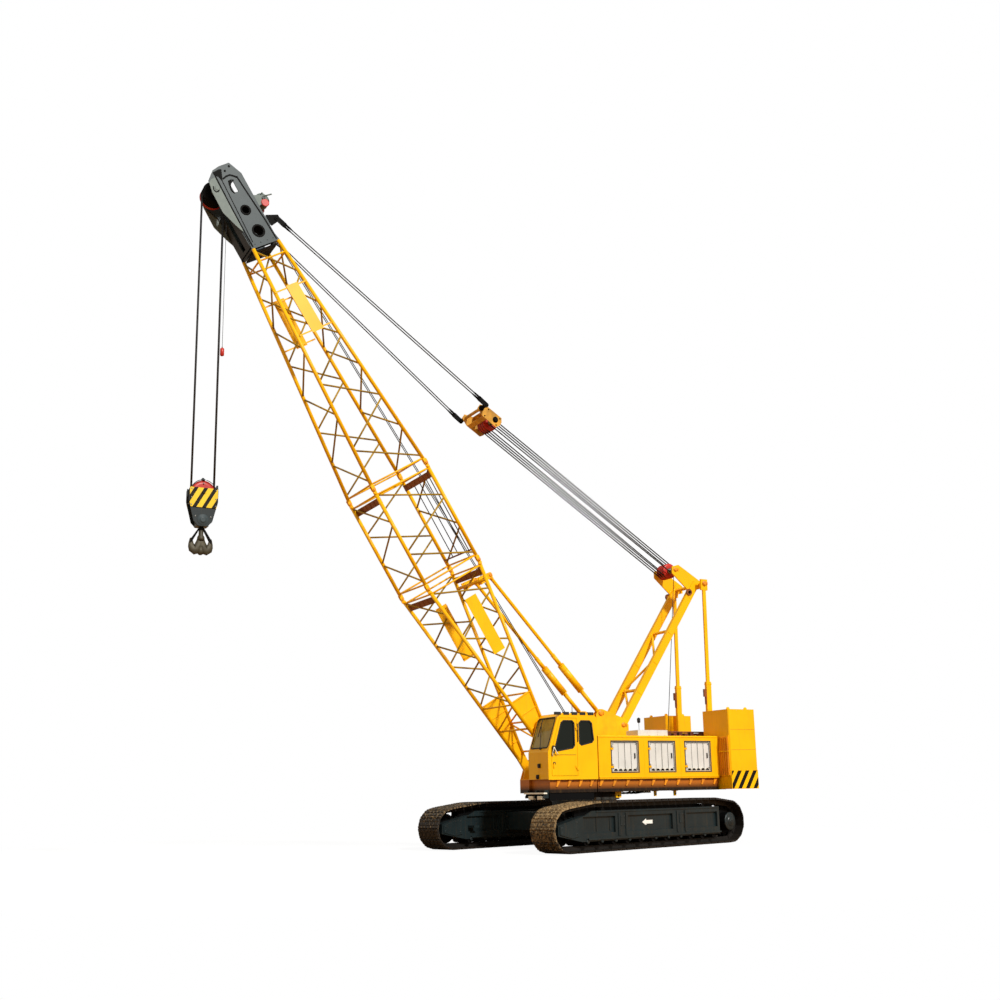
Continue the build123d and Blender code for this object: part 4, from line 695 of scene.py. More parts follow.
# grab rail beside the door and wiper on the screen
for rail in ([(2.03, -1.40, 2.75), (2.03, -1.40, 3.2)], [(2.004, -1.40, 2.75), (2.03, -1.40, 2.75)],
             [(2.004, -1.40, 3.2), (2.03, -1.40, 3.2)]):
    pipe(bm, rail, 0.012)
base = low + out * 0.03 + way * 0.10 + Vector((0.1, 0, 0))
tip = base + way * 0.62 + Vector((-0.25, 0, 0))
beam(bm, base, tip, 0.02, 0.012)
beam(bm, tip - way * 0.3 - Vector((0.02, 0, 0)), tip + way * 0.22 - Vector((0.02, 0, 0)), 0.014, 0.02)
lathe(bm, base - out * 0.02, out, [(0, 0.035), (0.03, 0.035), (0.04, 0.02)], 12)
# work lamps on the lower front, under the screen
for x, z in ((1.56, 2.14), (1.47, 1.86)):
    block(bm, (x - 0.055, x + 0.055), (-2.335, -2.299), (z - 0.055, z + 0.055))
    lathe(bm, (x, -2.335, z), (0, -1, 0), [(0, 0.045), (0.012, 0.045), (0.014, 0.036)], 14)
# hatch on the roof, aerial foot
block(bm, (1.25, 1.74), (-1.62, -1.18), (3.474, 3.49))
lathe(bm, (1.1, -0.98, 3.47), (0, 0, 1), [(0, 0.03), (0.03, 0.03), (0.05, 0.012), (0.30, 0.006)], 10)
piece("cab_trim", bm, [black_abs, lamp_glass], "upper", bevel=0.003)

bm = bmesh.new()
seal(bm, door_pane, 1.996, 2.011, 0.036)
# mirror on its bent arm, and the door's lower rail and lock
pipe(bm, [(2.00, -2.16, 2.36), (2.07, -2.20, 2.44), (2.08, -2.16, 2.60), (2.07, -2.05, 2.42)], 0.013, 8, 1)
block(bm, (2.035, 2.085), (-2.19, -2.14), (2.44, 2.64))
block(bm, (2.006, 2.012), (-2.17, -1.46), (2.40, 2.41))
lathe(bm, (2.0, -2.12, 2.19), (1, 0, 0), [(0, 0.04), (0.012, 0.04), (0.03, 0.02)], 12)
piece("cab_door_trim", bm, [black_abs, cream_enamel], "cab_door", bevel=0.003)

bm = bmesh.new()
# bar across the rear side window, inside
block(bm, (1.93, 1.955), (-1.36, -0.88), (2.95, 2.995), 3)
# seat with side wings, head rest and folded skirt; console, levers with knobs, screen
block(bm, (1.35, 1.64), (-1.47, -1.16), (1.86, 2.02), 1)
for k in range(5):
    fold, z = 0.004 * (k % 2), 2.02 + k * 0.04
    block(bm, (1.33 - fold, 1.66 + fold), (-1.48, -1.15), (z, z + 0.035), 1)
block(bm, (1.27, 1.72), (-1.62, -1.13), (2.23, 2.35), 0)
for x in (1.25, 1.68):
    block(bm, (x, x + 0.06), (-1.60, -1.13), (2.25, 2.38), 0)
plate(bm, [(-1.155, 2.31), (-1.03, 2.28), (-0.96, 2.98), (-1.045, 2.99)], 1.28, 1.71, 0)
plate(bm, [(-1.052, 2.82), (-0.98, 2.82), (-0.965, 2.99), (-1.045, 2.99)], 1.38, 1.61, 1)
for side in (-1, 1):
    x = 1.495 + side * 0.19
    plate(bm, [(-1.15, 2.36), (-1.03, 2.34), (-0.98, 2.86), (-1.08, 2.86)], x, x + side * 0.035)
block(bm, (1.20, 1.79), (-2.165, -1.975), (1.86, 2.46), 1)
plate(bm, [(-2.165, 2.46), (-1.98, 2.46), (-2.10, 2.51), (-2.165, 2.51)], 1.22, 1.77, 1)
for side in (-1, 1):
    x = 1.495 + side * 0.2
    pipe(bm, [(x, -2.04, 2.46), (x, -2.03, 2.64)], 0.010, 8, 2)
    lathe(bm, (x, -2.03, 2.63), (0, 0, 1), [(0, 0.012), (0.02, 0.024), (0.05, 0.026), (0.07, 0.012)], 12, 1)
piece("cab_inside", bm, [seat_cloth, black_abs, bare_steel, cream_enamel], "upper", ["operator_seat", "control_stand"],
      bevel=0.006)


# Engine, fuel tank, air box and silencer: folded and welded sheet in slate, yellow and silver enamel. Two black straps
# hold the tank, and the silencer has banded ends and an upright pipe of bare steel.
paint(["engine_block"], slate_enamel, 0.006)
paint(["fuel_tank"], enamel_yellow, 0.01)
paint(["roof_boxes"], silver_enamel, 0.006)
bm = bmesh.new()
for y in (-0.93, -0.66):
    block(bm, (-1.566, -0.974), (y, y + 0.05), (1.815, 2.376))
lathe(bm, (-1.25, -0.8, 2.37), (0, 0, 1), [(0, 0.05), (0.03, 0.05), (0.03, 0.065), (0.06, 0.06)], 16, 1)
bolts(bm, [(-1.56, y, 1.9) for y in (-0.9, -0.64)], (-1, 0, 0), 0.012)
piece("tank_straps", bm, [black_enamel, bare_steel], "upper", bevel=0.002)
bm = bmesh.new()
for y in (0.885, 1.2, 1.52, 1.845):
    block(bm, (0.915, 1.485), (y, y + 0.012), (2.93, 3.085))
block(bm, (0.93, 1.47), (0.875, 1.865), (3.078, 3.088))
for y in (1.10, 1.86):
    block(bm, (-1.405, -0.955), (y - 0.01, y + 0.04), (2.93, 3.18), 2)
lathe(bm, (-1.25, 1.5, 3.16), (0, 0, 1), [(0, 0.085), (0.03, 0.085), (0.04, 0.066), (0.425, 0.066), (0.44, 0.075),
                                        (0.45, 0.075)], 18, 2)
piece("roof_box_trim", bm, [silver_enamel, slate_enamel, bare_steel], "upper", bevel=0.002)


# Winches: cast drums with several layers of steel rope between deep bolted flanges, painted brown, on box pedestals
# with hydraulic motors at the side, and a row of valve blocks in rusty red beside the third drum.

# Brown winch enamel: dull, darkened by oil.
brown_enamel = surface("brown winch enamel", "#8A4A1E", rough=0.5, tone="#4A2812", tone_share=0.6, tone_scale=3.0,
                       dust=0.15, bump=0.1)
# Red primer gone rusty: matt and rough.
rust_red = surface("rusted red primer", "#6B2C1A", rough=0.6, tone="#2E1A12", tone_share=0.7, tone_scale=5.0, dust=0.15,
                   bump=0.2)
# Wire rope: almost black with grease, with a glint of metal on its strands.
greased_rope = surface("greased wire rope", "#26272A", rough=0.55, metallic=0.2, tone="#1E1F20", tone_share=0.7,
                       tone_scale=30.0, bump=0.5, bump_scale=140.0)
drums = ((0.25, 2.42), (1.5, 2.42), (2.65, 2.71))
bm = bmesh.new()
for y, z in drums:
    lathe(bm, (0.278, y, z), (1, 0, 0), [(0, 0.385), (0.018, 0.388), (0.024, 0.36), (0.024, 0.30), (0.016, 0.28),
                                         (0.024, 0.20), (0.03, 0.12), (0.04, 0.06)], 32)
    bolts(bm, circle((0.30, y, z), (1, 0, 0), 0.25, 16), (1, 0, 0), 0.010, 0.01, 2)
mirrored(bm)
profile = [(0, 0.235)]
for k in range(30):
    x = 0.004 + k * 0.5515 / 30
    profile += [(x + 0.001, 0.262), (x + 0.0092, 0.272), (x + 0.0174, 0.262)]
for y, z in drums:
    lathe(bm, (-0.28, y, z), (1, 0, 0), profile + [(0.56, 0.235)], 28, 1)
    pipe(bm, [(-0.31, y, z), (0.31, y, z)], 0.05, 16, 2)
piece("winches", bm, [brown_enamel, greased_rope, bare_steel], "upper", ["winch_drums"])
bm = bmesh.new()
for y, z in drums:
    lathe(bm, (0.349, y, z), (1, 0, 0), [(0, 0.14), (0.02, 0.14), (0.03, 0.10), (0.16, 0.10), (0.17, 0.06),
                                         (0.22, 0.055)], 20)
    bolts(bm, circle((0.367, y, z), (1, 0, 0), 0.12, 8), (1, 0, 0), 0.010, 0.01)
    for dy in (-0.2, 0.2):
        plate(bm, [(y + dy - 0.01, 1.82), (y + dy + 0.01, 1.82), (y + dy * 0.5 + 0.01, z - 0.06),
                   (y + dy * 0.5 - 0.01, z - 0.06)], 0.35, 0.41)
mirrored(bm)
# valve blocks and pipes beside the third drum, in rusty red and brown
for k in range(7):
    y = 2.55 + k * 0.2
    block(bm, (0.42, 0.56), (y, y + 0.12), (2.94 + 0.03 * (k % 2), 3.06 + 0.04 * ((k + 1) % 2)), 1)
    pipe(bm, [(0.49, y + 0.06, 2.60), (0.49, y + 0.06, 2.96)], 0.022)
block(bm, (0.40, 0.58), (2.5, 3.92), (2.56, 2.62))
for y in (2.6, 3.8):
    block(bm, (0.44, 0.50), (y, y + 0.06), (1.81, 2.58))
pipe(bm, [(0.53, 2.52, 3.09), (0.53, 3.9, 3.09)], 0.02, 8, 1)
piece("winch_gear", bm, [brown_enamel, rust_red], "upper", bevel=0.004)


# Counterweight: cast slabs with cut corners and lifting eyes on a tray, with a ribbed sheet before each stack. The
# tray's sides carry plain black and yellow warning stripes.

# Warning paint: clean amber and black bands with a low shine.
hazard_tray = surface("black and yellow warning paint on the tray", "#FFC400", rough=0.42, tone="#E8A000",
                      tone_share=0.3, dust=0.08, bump=0.04, shine=0.2, stripes=("#0E0D0A", 0.27, 0.62, 0.5))
paint(["counterweight_left", "counterweight_right", "counterweight_tray"], enamel_yellow, 0.012)
bm = bmesh.new()
for x, y in ((1.08, 3.72), (1.86, 3.72), (1.08, 4.34), (1.86, 4.34)):
    plate(bm, [(y - 0.06, 3.655), (y + 0.06, 3.655), (y + 0.05, 3.71), (y + 0.02, 3.73), (y - 0.02, 3.73),
               (y - 0.05, 3.71)], x - 0.012, x + 0.012)
# ribbed sheet on the front face, its ribs in the darker orange painted-shade copy of the enamel, and the seams between
# the slabs
block(bm, (0.93, 2.03), (3.535, 3.556), (1.82, 2.93))
for k in range(13):
    x = 0.95 + k * 0.085
    block(bm, (x, x + 0.035), (3.508, 3.536), (1.84, 2.90), 2)
block(bm, (0.93, 2.03), (3.504, 3.536), (2.48, 2.51))
for z in (2.534, 3.097):
    block(bm, (2.046, 2.0515), (3.60, 4.47), (z - 0.005, z + 0.005), 3)
mirrored(bm)
piece("counterweight_fittings", bm, [enamel_yellow, near_black_and_gap_shade, enamel_shaded, brown_enamel], "upper", bevel=0.003)
bm = bmesh.new()
block(bm, (2.05, 2.053), (3.575, 4.50), (1.47, 1.96))
mirrored(bm)
piece("warning_plates", bm, [hazard_tray], "upper")


# Gantry: box legs with folded edges, cross tubes and a head with the fixed sheaves of the luffing tackle; its rear
# links run down to the tail of the deck. Yellow enamel, with pins in its darker orange painted-shade copy, red sheaves
# and a brown guide pulley.

# Red oxide enamel: a warm satin, darker where ropes rub.
red_enamel = surface("red oxide enamel", "#C4281C", rough=0.4, tone="#7E1A12", tone_share=0.5, tone_scale=4.0,
                     dust=0.1, bump=0.05)
paint(["gantry_legs", "gantry_links"], enamel_yellow, 0.008)
foot_lean, apex = Vector((0, 1.05, 3.28)), Vector((0, 3.87, 7.48))
leg_way = (apex - foot_lean).normalized()
leg_square = Vector((0, -leg_way.z, leg_way.y))
block_spot = Vector((0, 3.18, 7.90))
bail_spot = Vector((0, -3.28, 12.03))
tackle_rows = (-0.12, 0.0, 0.12)


def aside(x):
    return Vector((x, 0, 0))


def sheave(bm, centre, groove, rim, mid, half, body=0, hub=1, holes=0):
    """A rope sheave of half a width about a middle plane: rims, a round groove, a dished web with dark holes, a hub."""
    lathe(bm, centre + aside(mid - half), (1, 0, 0),
          [(0, groove * 0.80), (0.0, rim), (half * 0.30, rim), (half * 0.62, groove + 0.012), (half * 0.85, groove),
           (half * 1.15, groove), (half * 1.38, groove + 0.012), (half * 1.70, rim), (2 * half, rim),
           (2 * half, groove * 0.80)], 40, body, closed=False)
    for face in (-1, 1):
        lathe(bm, centre + aside(mid + face * half * 0.30), (face, 0, 0),
              [(half * 0.70, groove * 0.80), (0.0, groove * 0.76), (0.0, groove * 0.36), (half * 0.72, groove * 0.32),
               (half * 0.72, 0.04)], 40, body)
        for k in range(holes):
            a = 2 * math.pi * k / holes
            spot = Vector((mid + face * half * 0.305, groove * 0.56 * math.cos(a), groove * 0.56 * math.sin(a)))
            lathe(bm, centre + spot, (face, 0, 0), [(0, groove * 0.13), (0.003, groove * 0.13)], 12, hub)


def tackle_set(bm, centre, half, axle, collar, reach):
    """The three sheaves of one end of the tackle on their axle, with a collar on both sides."""
    lathe(bm, centre + aside(0.19), (1, 0, 0),
          [(0, collar), (0.02, collar), (0.02, collar - 0.015), (reach, collar - 0.015)], 20, 1)
    mirrored(bm)
    for x in tackle_rows:
        sheave(bm, centre, 0.200, 0.229, x, 0.050, holes=6)
    pipe(bm, [centre - aside(half), centre + aside(half)], axle, 20, 1)


bm = bmesh.new()
tackle_set(bm, block_spot, 0.43, 0.052, 0.085, 0.10)
piece("gantry_sheave_set", bm, [red_enamel, bare_steel], "upper", ["gantry_sheaves"])

bm = bmesh.new()
leg = aside(0.45)
for face in (-1, 1):
    # folded edges and pads on the leg
    for edge in (-1, 1):
        line = leg + aside(face * 0.062) + leg_square * edge * 0.105
        beam(bm, foot_lean + line + leg_way * 0.35, apex + line - leg_way * 0.3, 0.006, 0.018)
    for share in (0.24, 0.45, 0.66, 0.93):
        p = foot_lean + (apex - foot_lean) * share + leg + aside(face * 0.064)
        beam(bm, p - leg_way * 0.13, p + leg_way * 0.13, 0.008, 0.16)
# pin heads with keeper plates at the foot and the head
for y, z, x, r in ((1.05, 3.28, 0.545, 0.05), (0.30, 3.60, 0.545, 0.06), (4.00, 7.48, 0.775, 0.055),
                   (3.92, 2.15, 0.80, 0.055), (3.18, 7.90, 0.475, 0.05)):
    lathe(bm, (x, y, z), (1, 0, 0), [(0, r + 0.02), (0.012, r + 0.02), (0.012, r), (0.03, r), (0.034, r * 0.7)], 18, 3)
    beam(bm, (x + 0.016, y + 0.09, z - 0.04), (x + 0.016, y + 0.09, z + 0.04), 0.012, 0.03, 3)
# guide pulley that leads the winch rope at the head
lathe(bm, (0.50, 3.60, 7.23), (1, 0, 0), [(0, 0.10), (0.012, 0.10), (0.02, 0.075), (0.03, 0.075), (0.038, 0.10),
                                          (0.05, 0.10)], 20, 2)
lathe(bm, (0.55, 3.60, 7.23), (1, 0, 0), [(0, 0.04), (0.03, 0.04)], 12, 1)
# collars and a latch on the rear link's sleeve
top = Vector((0.73, 4.0, 7.48))
down = (Vector((0.73, 3.92, 2.15)) - top).normalized()
for along, y0, y1, z0, z1, half, slot in ((3.25, -0.17, -0.08, -0.12, 0.10, 0.03, 2),
                                          (3.25, -0.12, -0.08, -0.34, -0.12, 0.03, 2),
                                          (3.0, -0.095, 0.095, -0.02, 0.02, 0.052, 0),
                                          (4.9, -0.095, 0.095, -0.02, 0.02, 0.052, 0)):
    p = top + down * along
    block(bm, (p.x - half, p.x + half), (p.y + y0, p.y + y1), (p.z + z0, p.z + z1), slot)
# gusset plates at the brackets of legs and backstops
for x in (0.355, 0.515):
    block(bm, (x, x + 0.02), (0.16, 0.20), (1.85, 3.45))
    block(bm, (x, x + 0.02), (1.16, 1.20), (1.85, 3.2))
    beam(bm, (x + 0.01, 0.2, 2.95), (x + 0.01, 1.16, 2.95), 0.02, 0.035)
mirrored(bm)
piece("gantry_fittings", bm, [enamel_yellow, near_black_and_gap_shade, brown_enamel, enamel_shaded], "upper", bevel=0.002)
bm = bmesh.new()
pipe(bm, [(0.62, 1.515, 3.0), (0.62, 1.515, 3.34)], 0.006, 6)
lathe(bm, (0.62, 1.515, 3.33), (0, 0, 1), [(0, 0.02), (0.02, 0.045), (0.12, 0.05), (0.15, 0.02)], 14)
lathe(bm, (0.62, 1.515, 2.93), (0, 0, 1), [(0, 0.05), (0.07, 0.05), (0.09, 0.01)], 10)
piece("warning_lamp", bm, [black_abs], "upper")


# Boom: welded lattice of round tubes with solid lugs and turned pins at the section joints. The chords are seamless
# tubes, the lacing is thinner; everything is sprayed yellow, with brown cross plates before each joint.

# Yellow darkened to an olive cast as painted shade for the thin lacing, with some grime and little shine.
lacing_painted_shade = surface("crane yellow enamel, darkened to olive as painted shade", "#B08A1C", rough=0.5, tone="#5B4A1E",
                        tone_share=0.7, tone_scale=1.6, dust=0.05, bump=0.05, shine=0.2)
boom_foot = Vector((0, -1.27, 2.055))
boom_lean = math.radians(58.7)
base_end, insert_end, top_end = 5.97, 8.92, 15.93
four = ((1, 1), (1, -1), (-1, -1), (-1, 1))


def on_boom(x, t, d):
    """A point of the boom: across, out along it from the foot, and up from its axis."""
    return Vector((x, boom_foot.y - t * math.cos(boom_lean) + d * math.sin(boom_lean),
                   boom_foot.z + t * math.sin(boom_lean) + d * math.cos(boom_lean)))


def boom_size(t):
    """Half the boom's width and depth between its chords at a distance from the foot."""
    if t <= base_end:
        return 0.854, 0.09 + 0.783 * max(0.0, (t - 0.42) / (base_end - 0.42))
    if t <= insert_end:
        return 0.854, 0.873
    share = (t - insert_end) / (top_end - insert_end)
    return 0.854 - 0.414 * share, 0.873 - 0.488 * share


def corner(t, sx, sd):
    w, d = boom_size(t)
    return on_boom(sx * w, t, sd * d)


def boom_plate(bm, outline, x0, x1, slot=0):
    """A plate in the boom's own plane, from a list of (t, d)."""
    plate(bm, [on_boom(0, t, d).yz for t, d in outline], x0, x1, slot)


def boom_block(bm, x, t, d, slot=0):
    """A box in the boom's own directions, from three pairs of limits."""
    boom_plate(bm, [(t[0], d[0]), (t[1], d[0]), (t[1], d[1]), (t[0], d[1])], x[0], x[1], slot)


boom_square = on_boom(0, 0, 1) - on_boom(0, 0, 0)
boom_way = on_boom(0, 1, 0) - on_boom(0, 0, 0)


def lattice(bm, t0, t1, bays, frames, lace_from, slot):
    """Four chords, laced from face to face in a zigzag, with square frames near the ends."""
    web = 0.0245
    step = (t1 - 0.04 - lace_from) / bays
    for f, a in enumerate(four):
        b = four[(f + 1) % 4]
        pipe(bm, [corner(t0, *a), corner(t1, *a)], 0.05, 20)
        for i in range(bays):
            lo, hi = lace_from + i * step + 0.035, lace_from + (i + 1) * step - 0.035
            first, second = (a, b) if i % 2 == 0 else (b, a)
            pipe(bm, [corner(lo, *first), corner(hi, *second)], web, 12, slot)
        for t in frames:
            pipe(bm, [corner(t, *a), corner(t, *b)], web, 12)


def joint(bm, t, before):
    """Lugs of a section joint: a single tongue before it, or a fork behind it with its pin."""
    way = 1 if before else -1
    for sx, sd in four:
        w, d = boom_size(t)
        for low, high in ((-0.02, 0.02),) if before else ((0.0205, 0.05), (-0.05, -0.0205)):
            boom_plate(bm, [(t + way * a, sd * d + b) for a, b in ((-0.115, -0.051), (0.02, -0.047), (0.042, -0.02),
                                                                   (0.042, 0.02), (0.02, 0.047), (-0.115, 0.051))],
                       sx * w + low, sx * w + high)
        lathe(bm, corner(t - way * 0.14, sx, sd), way * boom_way, [(0, 0.054), (0.04, 0.054), (0.06, 0.045)], 16)
        if not before:
            lathe(bm, corner(t, sx, sd) - aside(sx * 0.06), (sx, 0, 0),
                  [(0, 0.026), (0.01, 0.03), (0.11, 0.03), (0.112, 0.036), (0.122, 0.036), (0.125, 0.02)], 16, 1)


def cross_plates(bm, t):
    """Folded plates that stiffen the upper and lower face before a joint."""
    for d in (0.822, -0.822):
        boom_block(bm, (-0.85, 0.85), (t - 0.33, t - 0.15), (d - 0.012, d + 0.012), 2)
        for k in range(6):
            x = -0.7 + k * 0.28
            boom_block(bm, (x, x + 0.012), (t - 0.31, t - 0.17), (d - 0.02, d + 0.02), 2)


# the joints' pins take the darker orange painted-shade copy of the enamel, and the lacing the olive painted-shade one
boom_mats = [enamel_yellow, enamel_shaded, brown_enamel, lacing_painted_shade]
bm = bmesh.new()
w = boom_size(0)[0]
# foot eye, side web with its ribs, bracket of the backstop and blank plate
ring_line = [(0.15 * math.cos(a), 0.15 * math.sin(a)) for a in (math.radians(50 + 260 * i / 14) for i in range(15))]
boom_plate(bm, [(0.50, 0.13)] + ring_line + [(0.50, -0.13)], w - 0.045, w + 0.045)
web_end = boom_size(2.25)[1]
boom_plate(bm, [(0.42, -0.09), (2.25, -web_end), (2.25, web_end), (0.42, 0.09)], w - 0.010, w + 0.010)
for t in (0.9, 1.35, 1.8, 2.23):
    d = boom_size(t)[1]
    for face in (-1, 1):
        boom_block(bm, (w + face * 0.009, w + face * 0.04), (t - 0.008, t + 0.008), (-d, d))
lathe(bm, on_boom(w - 0.050, 0, 0), (1, 0, 0), [(0, 0.10), (0.1, 0.10)], 28)
for face in (-1, 1):
    x = 0.45 + face * 0.06
    boom_plate(bm, [(5.31, 0.775), (5.53, 0.775), (5.49, 1.19), (5.46, 1.21), (5.38, 1.21), (5.35, 1.19)], x,
               x + face * 0.025)
    lathe(bm, on_boom(x + face * 0.02, 5.42, 1.15), (face, 0, 0), [(0, 0.05), (0.016, 0.05), (0.02, 0.03)], 16, 1)
boom_block(bm, (0.912, 0.918), (3.58, 5.24), (-0.10, 0.27))
for t in (3.66, 5.16):
    boom_block(bm, (0.87, 0.912), (t - 0.02, t + 0.02), (-0.09, 0.26))
mirrored(bm)
lattice(bm, 0.42, 5.89, 5, (5.82,), 2.25, 3)
pipe(bm, [corner(5.42, 1, 1), corner(5.42, -1, 1)], 0.047, 18)
for t, sd in ((0.56, 1), (1.40, 1), (1.40, -1), (2.19, 1), (2.19, -1)):
    pipe(bm, [corner(t, 1, sd), corner(t, -1, sd)], 0.026, 12)
for t0, t1, sx, sd in ((0.6, 1.37, 1, 1), (1.43, 2.15, -1, 1), (1.43, 2.15, -1, -1)):
    pipe(bm, [corner(t0, sx, sd), corner(t1, -sx, sd)], 0.0245, 12)
joint(bm, base_end, True)
cross_plates(bm, base_end - 0.08)
piece("boom_base_lattice", bm, boom_mats, "boom", ["boom_base"])

bm = bmesh.new()
lattice(bm, 6.05, 8.84, 3, (6.12, 8.77), 6.17, 3)
joint(bm, base_end, False)
joint(bm, insert_end, True)
cross_plates(bm, insert_end - 0.08)
piece("boom_insert_lattice", bm, boom_mats, "boom", ["boom_insert"])

bm = bmesh.new()
for t in (13.36, 14.64):
    w = boom_size(t)[0]
    boom_block(bm, (w + 0.046, w + 0.058), (t - 0.02, t + 0.02), (-0.5, 0.5))
points = [(13.3, -0.13), (14.7, -0.13), (14.7, 0.22), (13.3, 0.22)]
solid(bm, *[[on_boom(boom_size(t)[0] + out, t, d) for t, d in points] for out in (0.060, 0.066)])
mirrored(bm)
lattice(bm, 9.0, top_end, 7, (9.07, 15.58), 9.12, 2)
joint(bm, insert_end, False)
piece("boom_top_lattice", bm, [enamel_yellow, enamel_shaded, lacing_painted_shade], "boom", ["boom_top"])


# Boom head: two flame cut cheeks in slate grey enamel with black bars along their edges, ringed holes and a pale guard
# plate. Black and red sheaves turn between them, and two more stand in a pale bracket on the upper side.

# Slate grey enamel, satin, with painted shade: near black on what faces down.
head_enamel_painted_shade_below = surface("slate grey enamel, painted shade below", "#3C494D", rough=0.42, tone="#2F3A3F",
                      tone_share=0.6, tone_scale=3.0, dust=0.05, dust_colour="#5F5F58", bump=0.1, shine=0.3,
                      painted_underside_shade="#0B0B0D", turned=-0.3)
# Pale grey green enamel: chalky, with a soft cloud of tone.
pale_slate = surface("pale grey green enamel", "#66736F", rough=0.45, tone="#7C8781", tone_share=0.5, tone_scale=5.0,
                     bump=0.08, shine=0.3)
paint(["boom_head"], head_enamel_painted_shade_below, 0.006)
head_bars = ((0.036, [(15.97, 0.355), (16.59, 0.324), (17.08, 0.272), (17.43, 0.236), (17.86, 0.197)]),
             (0.036, [(15.99, -0.37), (16.45, -0.375), (17.25, -0.37), (18.03, -0.348)]),
             (0.018, [(16.10, -0.31), (16.50, -0.292), (17.65, -0.245), (17.83, -0.238)]),
             (0.040, [(17.90, -0.19), (17.94, -0.08), (17.947, 0.04), (17.891, 0.125), (17.83, 0.19)]),
             (0.036, [(17.80, 0.065), (17.73, -0.06), (17.64, -0.12), (17.53, -0.125), (17.45, -0.08)]))
tip_patch = [(18.04, -0.36), (18.14, -0.37), (18.17, -0.19), (18.155, -0.10), (17.83, -0.235), (18.0, -0.28)]
lug_cover = [(16.33, 0.405), (16.405, 0.735), (16.555, 0.735), (16.66, 0.395)]
guard = [(18.0, -0.375), (17.99, -0.50), (17.93, -0.59), (17.65, -0.65), (17.07, -0.66), (16.65, -0.51), (16.45, -0.42),
         (16.45, -0.395), (17.25, -0.39)]
guard_mark = [(17.80, -0.54), (17.71, -0.575), (17.635, -0.55), (17.628, -0.488), (17.66, -0.44)]
slot_patch = [(17.83, 0.04), (17.81, -0.09), (17.68, -0.13), (17.70, -0.07), (17.76, -0.03)]


def bars(bm, line, x, wide, deep):
    """Flat black bars along a line of (t, d) on a plane of the head."""
    points = [on_boom(x, t, d) for t, d in line]
    for a, b in zip(points, points[1:]):
        beam(bm, a, b, deep, wide, 1)


bm = bmesh.new()
cheek = 0.454
for wide, line in head_bars:
    bars(bm, line, cheek + 0.004, wide, 0.012)
for outline, thick, slot in ((tip_patch, 0.009, 1), (slot_patch, 0.009, 1), (lug_cover, 0.008, 1), (guard, 0.007, 2)):
    boom_plate(bm, outline, cheek, cheek + thick, slot)
bars(bm, guard_mark, cheek + 0.009, 0.03, 0.008)
for t, d, r in ((16.95, -0.04, 0.095), (16.33, 0.0, 0.13)):
    lathe(bm, on_boom(cheek, t, d), (1, 0, 0), [(0, r + 0.05), (0.008, r + 0.05), (0.008, r), (0, r)], 32, 1,
          closed=False)
    lathe(bm, on_boom(0.05, t, d), (1, 0, 0), [(0, r + 0.004), (0.403, r + 0.004)], 32, 1, closed=False)
for t, d in ((18.17, 0.14), (18.085, -0.03)):
    lathe(bm, on_boom(cheek - 0.001, t, d), (1, 0, 0), [(0, 0.03), (0.008, 0.03), (0.012, 0.02)], 14, 1)
lathe(bm, on_boom(cheek, 17.72, -0.46), (1, 0, 0), [(0, 0.07), (0.012, 0.07), (0.014, 0.05)], 24, 2)
lathe(bm, on_boom(cheek + 0.008, 16.48, 0.65), (1, 0, 0), [(0.0, 0.055), (0.004, 0.055)], 20, 1)
bolts(bm, [on_boom(cheek, 16.03, d) for d in (-0.28, -0.1, 0.1, 0.28)], (1, 0, 0), 0.012)
mirrored(bm)
# bulkhead in the mouth of the first section, near black as painted shade for the hollow head beyond
boom_block(bm, (-0.38, 0.38), (15.86, 15.89), (-0.36, 0.36), 1)
piece("head_edges", bm, [head_enamel_painted_shade_below, near_black_and_gap_shade, pale_slate], "boom", bevel=0.0015)

head_axis = on_boom(0, 17.72, -0.46)
guide = on_boom(0, 17.17, 0.72)
bm = bmesh.new()
lathe(bm, head_axis + aside(0.195), (1, 0, 0), [(0, 0.09), (0.01, 0.09), (0.01, 0.075), (0.225, 0.075)], 24, 1)
sheave(bm, guide, 0.170, 0.199, 0.048, 0.042, 3, 3, 6)
mirrored(bm)
for x, slot in ((-0.144, 2), (-0.048, 0), (0.048, 0), (0.144, 0)):
    sheave(bm, head_axis, 0.270, 0.307, x, 0.044, slot, 1, 8)
pipe(bm, [head_axis - aside(0.425), head_axis + aside(0.425)], 0.048, 20, 1)
pipe(bm, [guide - aside(0.187), guide + aside(0.187)], 0.038, 16, 1)
piece("head_sheave_set", bm, [near_black_and_gap_shade, slate_enamel, red_enamel, pale_slate], "boom", ["head_sheaves"])
bm = bmesh.new()
x = 0.206
boom_plate(bm, [(16.98, 0.40), (17.36, 0.40), (17.25, 0.75), (17.09, 0.75)], x, x + 0.008)
lathe(bm, on_boom(x + 0.006, 17.17, 0.72), (1, 0, 0), [(0, 0.05), (0.014, 0.05), (0.018, 0.03)], 16, 1)
# red marker disc, small arm, and a keeper bar over the rope
lathe(bm, on_boom(x + 0.006, 17.04, 0.70), (1, 0, 0), [(0, 0.11), (0.012, 0.11), (0.018, 0.09)], 24, 2)
pipe(bm, [on_boom(x, 17.22, 0.77), on_boom(x + 0.04, 17.19, 0.98)], 0.018, 10)
beam(bm, on_boom(x, 17.02, 0.77), on_boom(x, 17.32, 0.77), 0.012, 0.03)
mirrored(bm)
for t in (17.33, 17.0):
    pipe(bm, [on_boom(-0.2, t, 0.77), on_boom(0.2, t, 0.77)], 0.012)
piece("guide_bracket", bm, [pale_slate, black_enamel, red_enamel], "boom", bevel=0.002)


# Pendants and bail: two steel ropes a side with swaged sockets between link plates, and the open box with the moving
# sheaves of the luffing tackle. Ropes are grey and greased; the box is yellow with black pin ends.

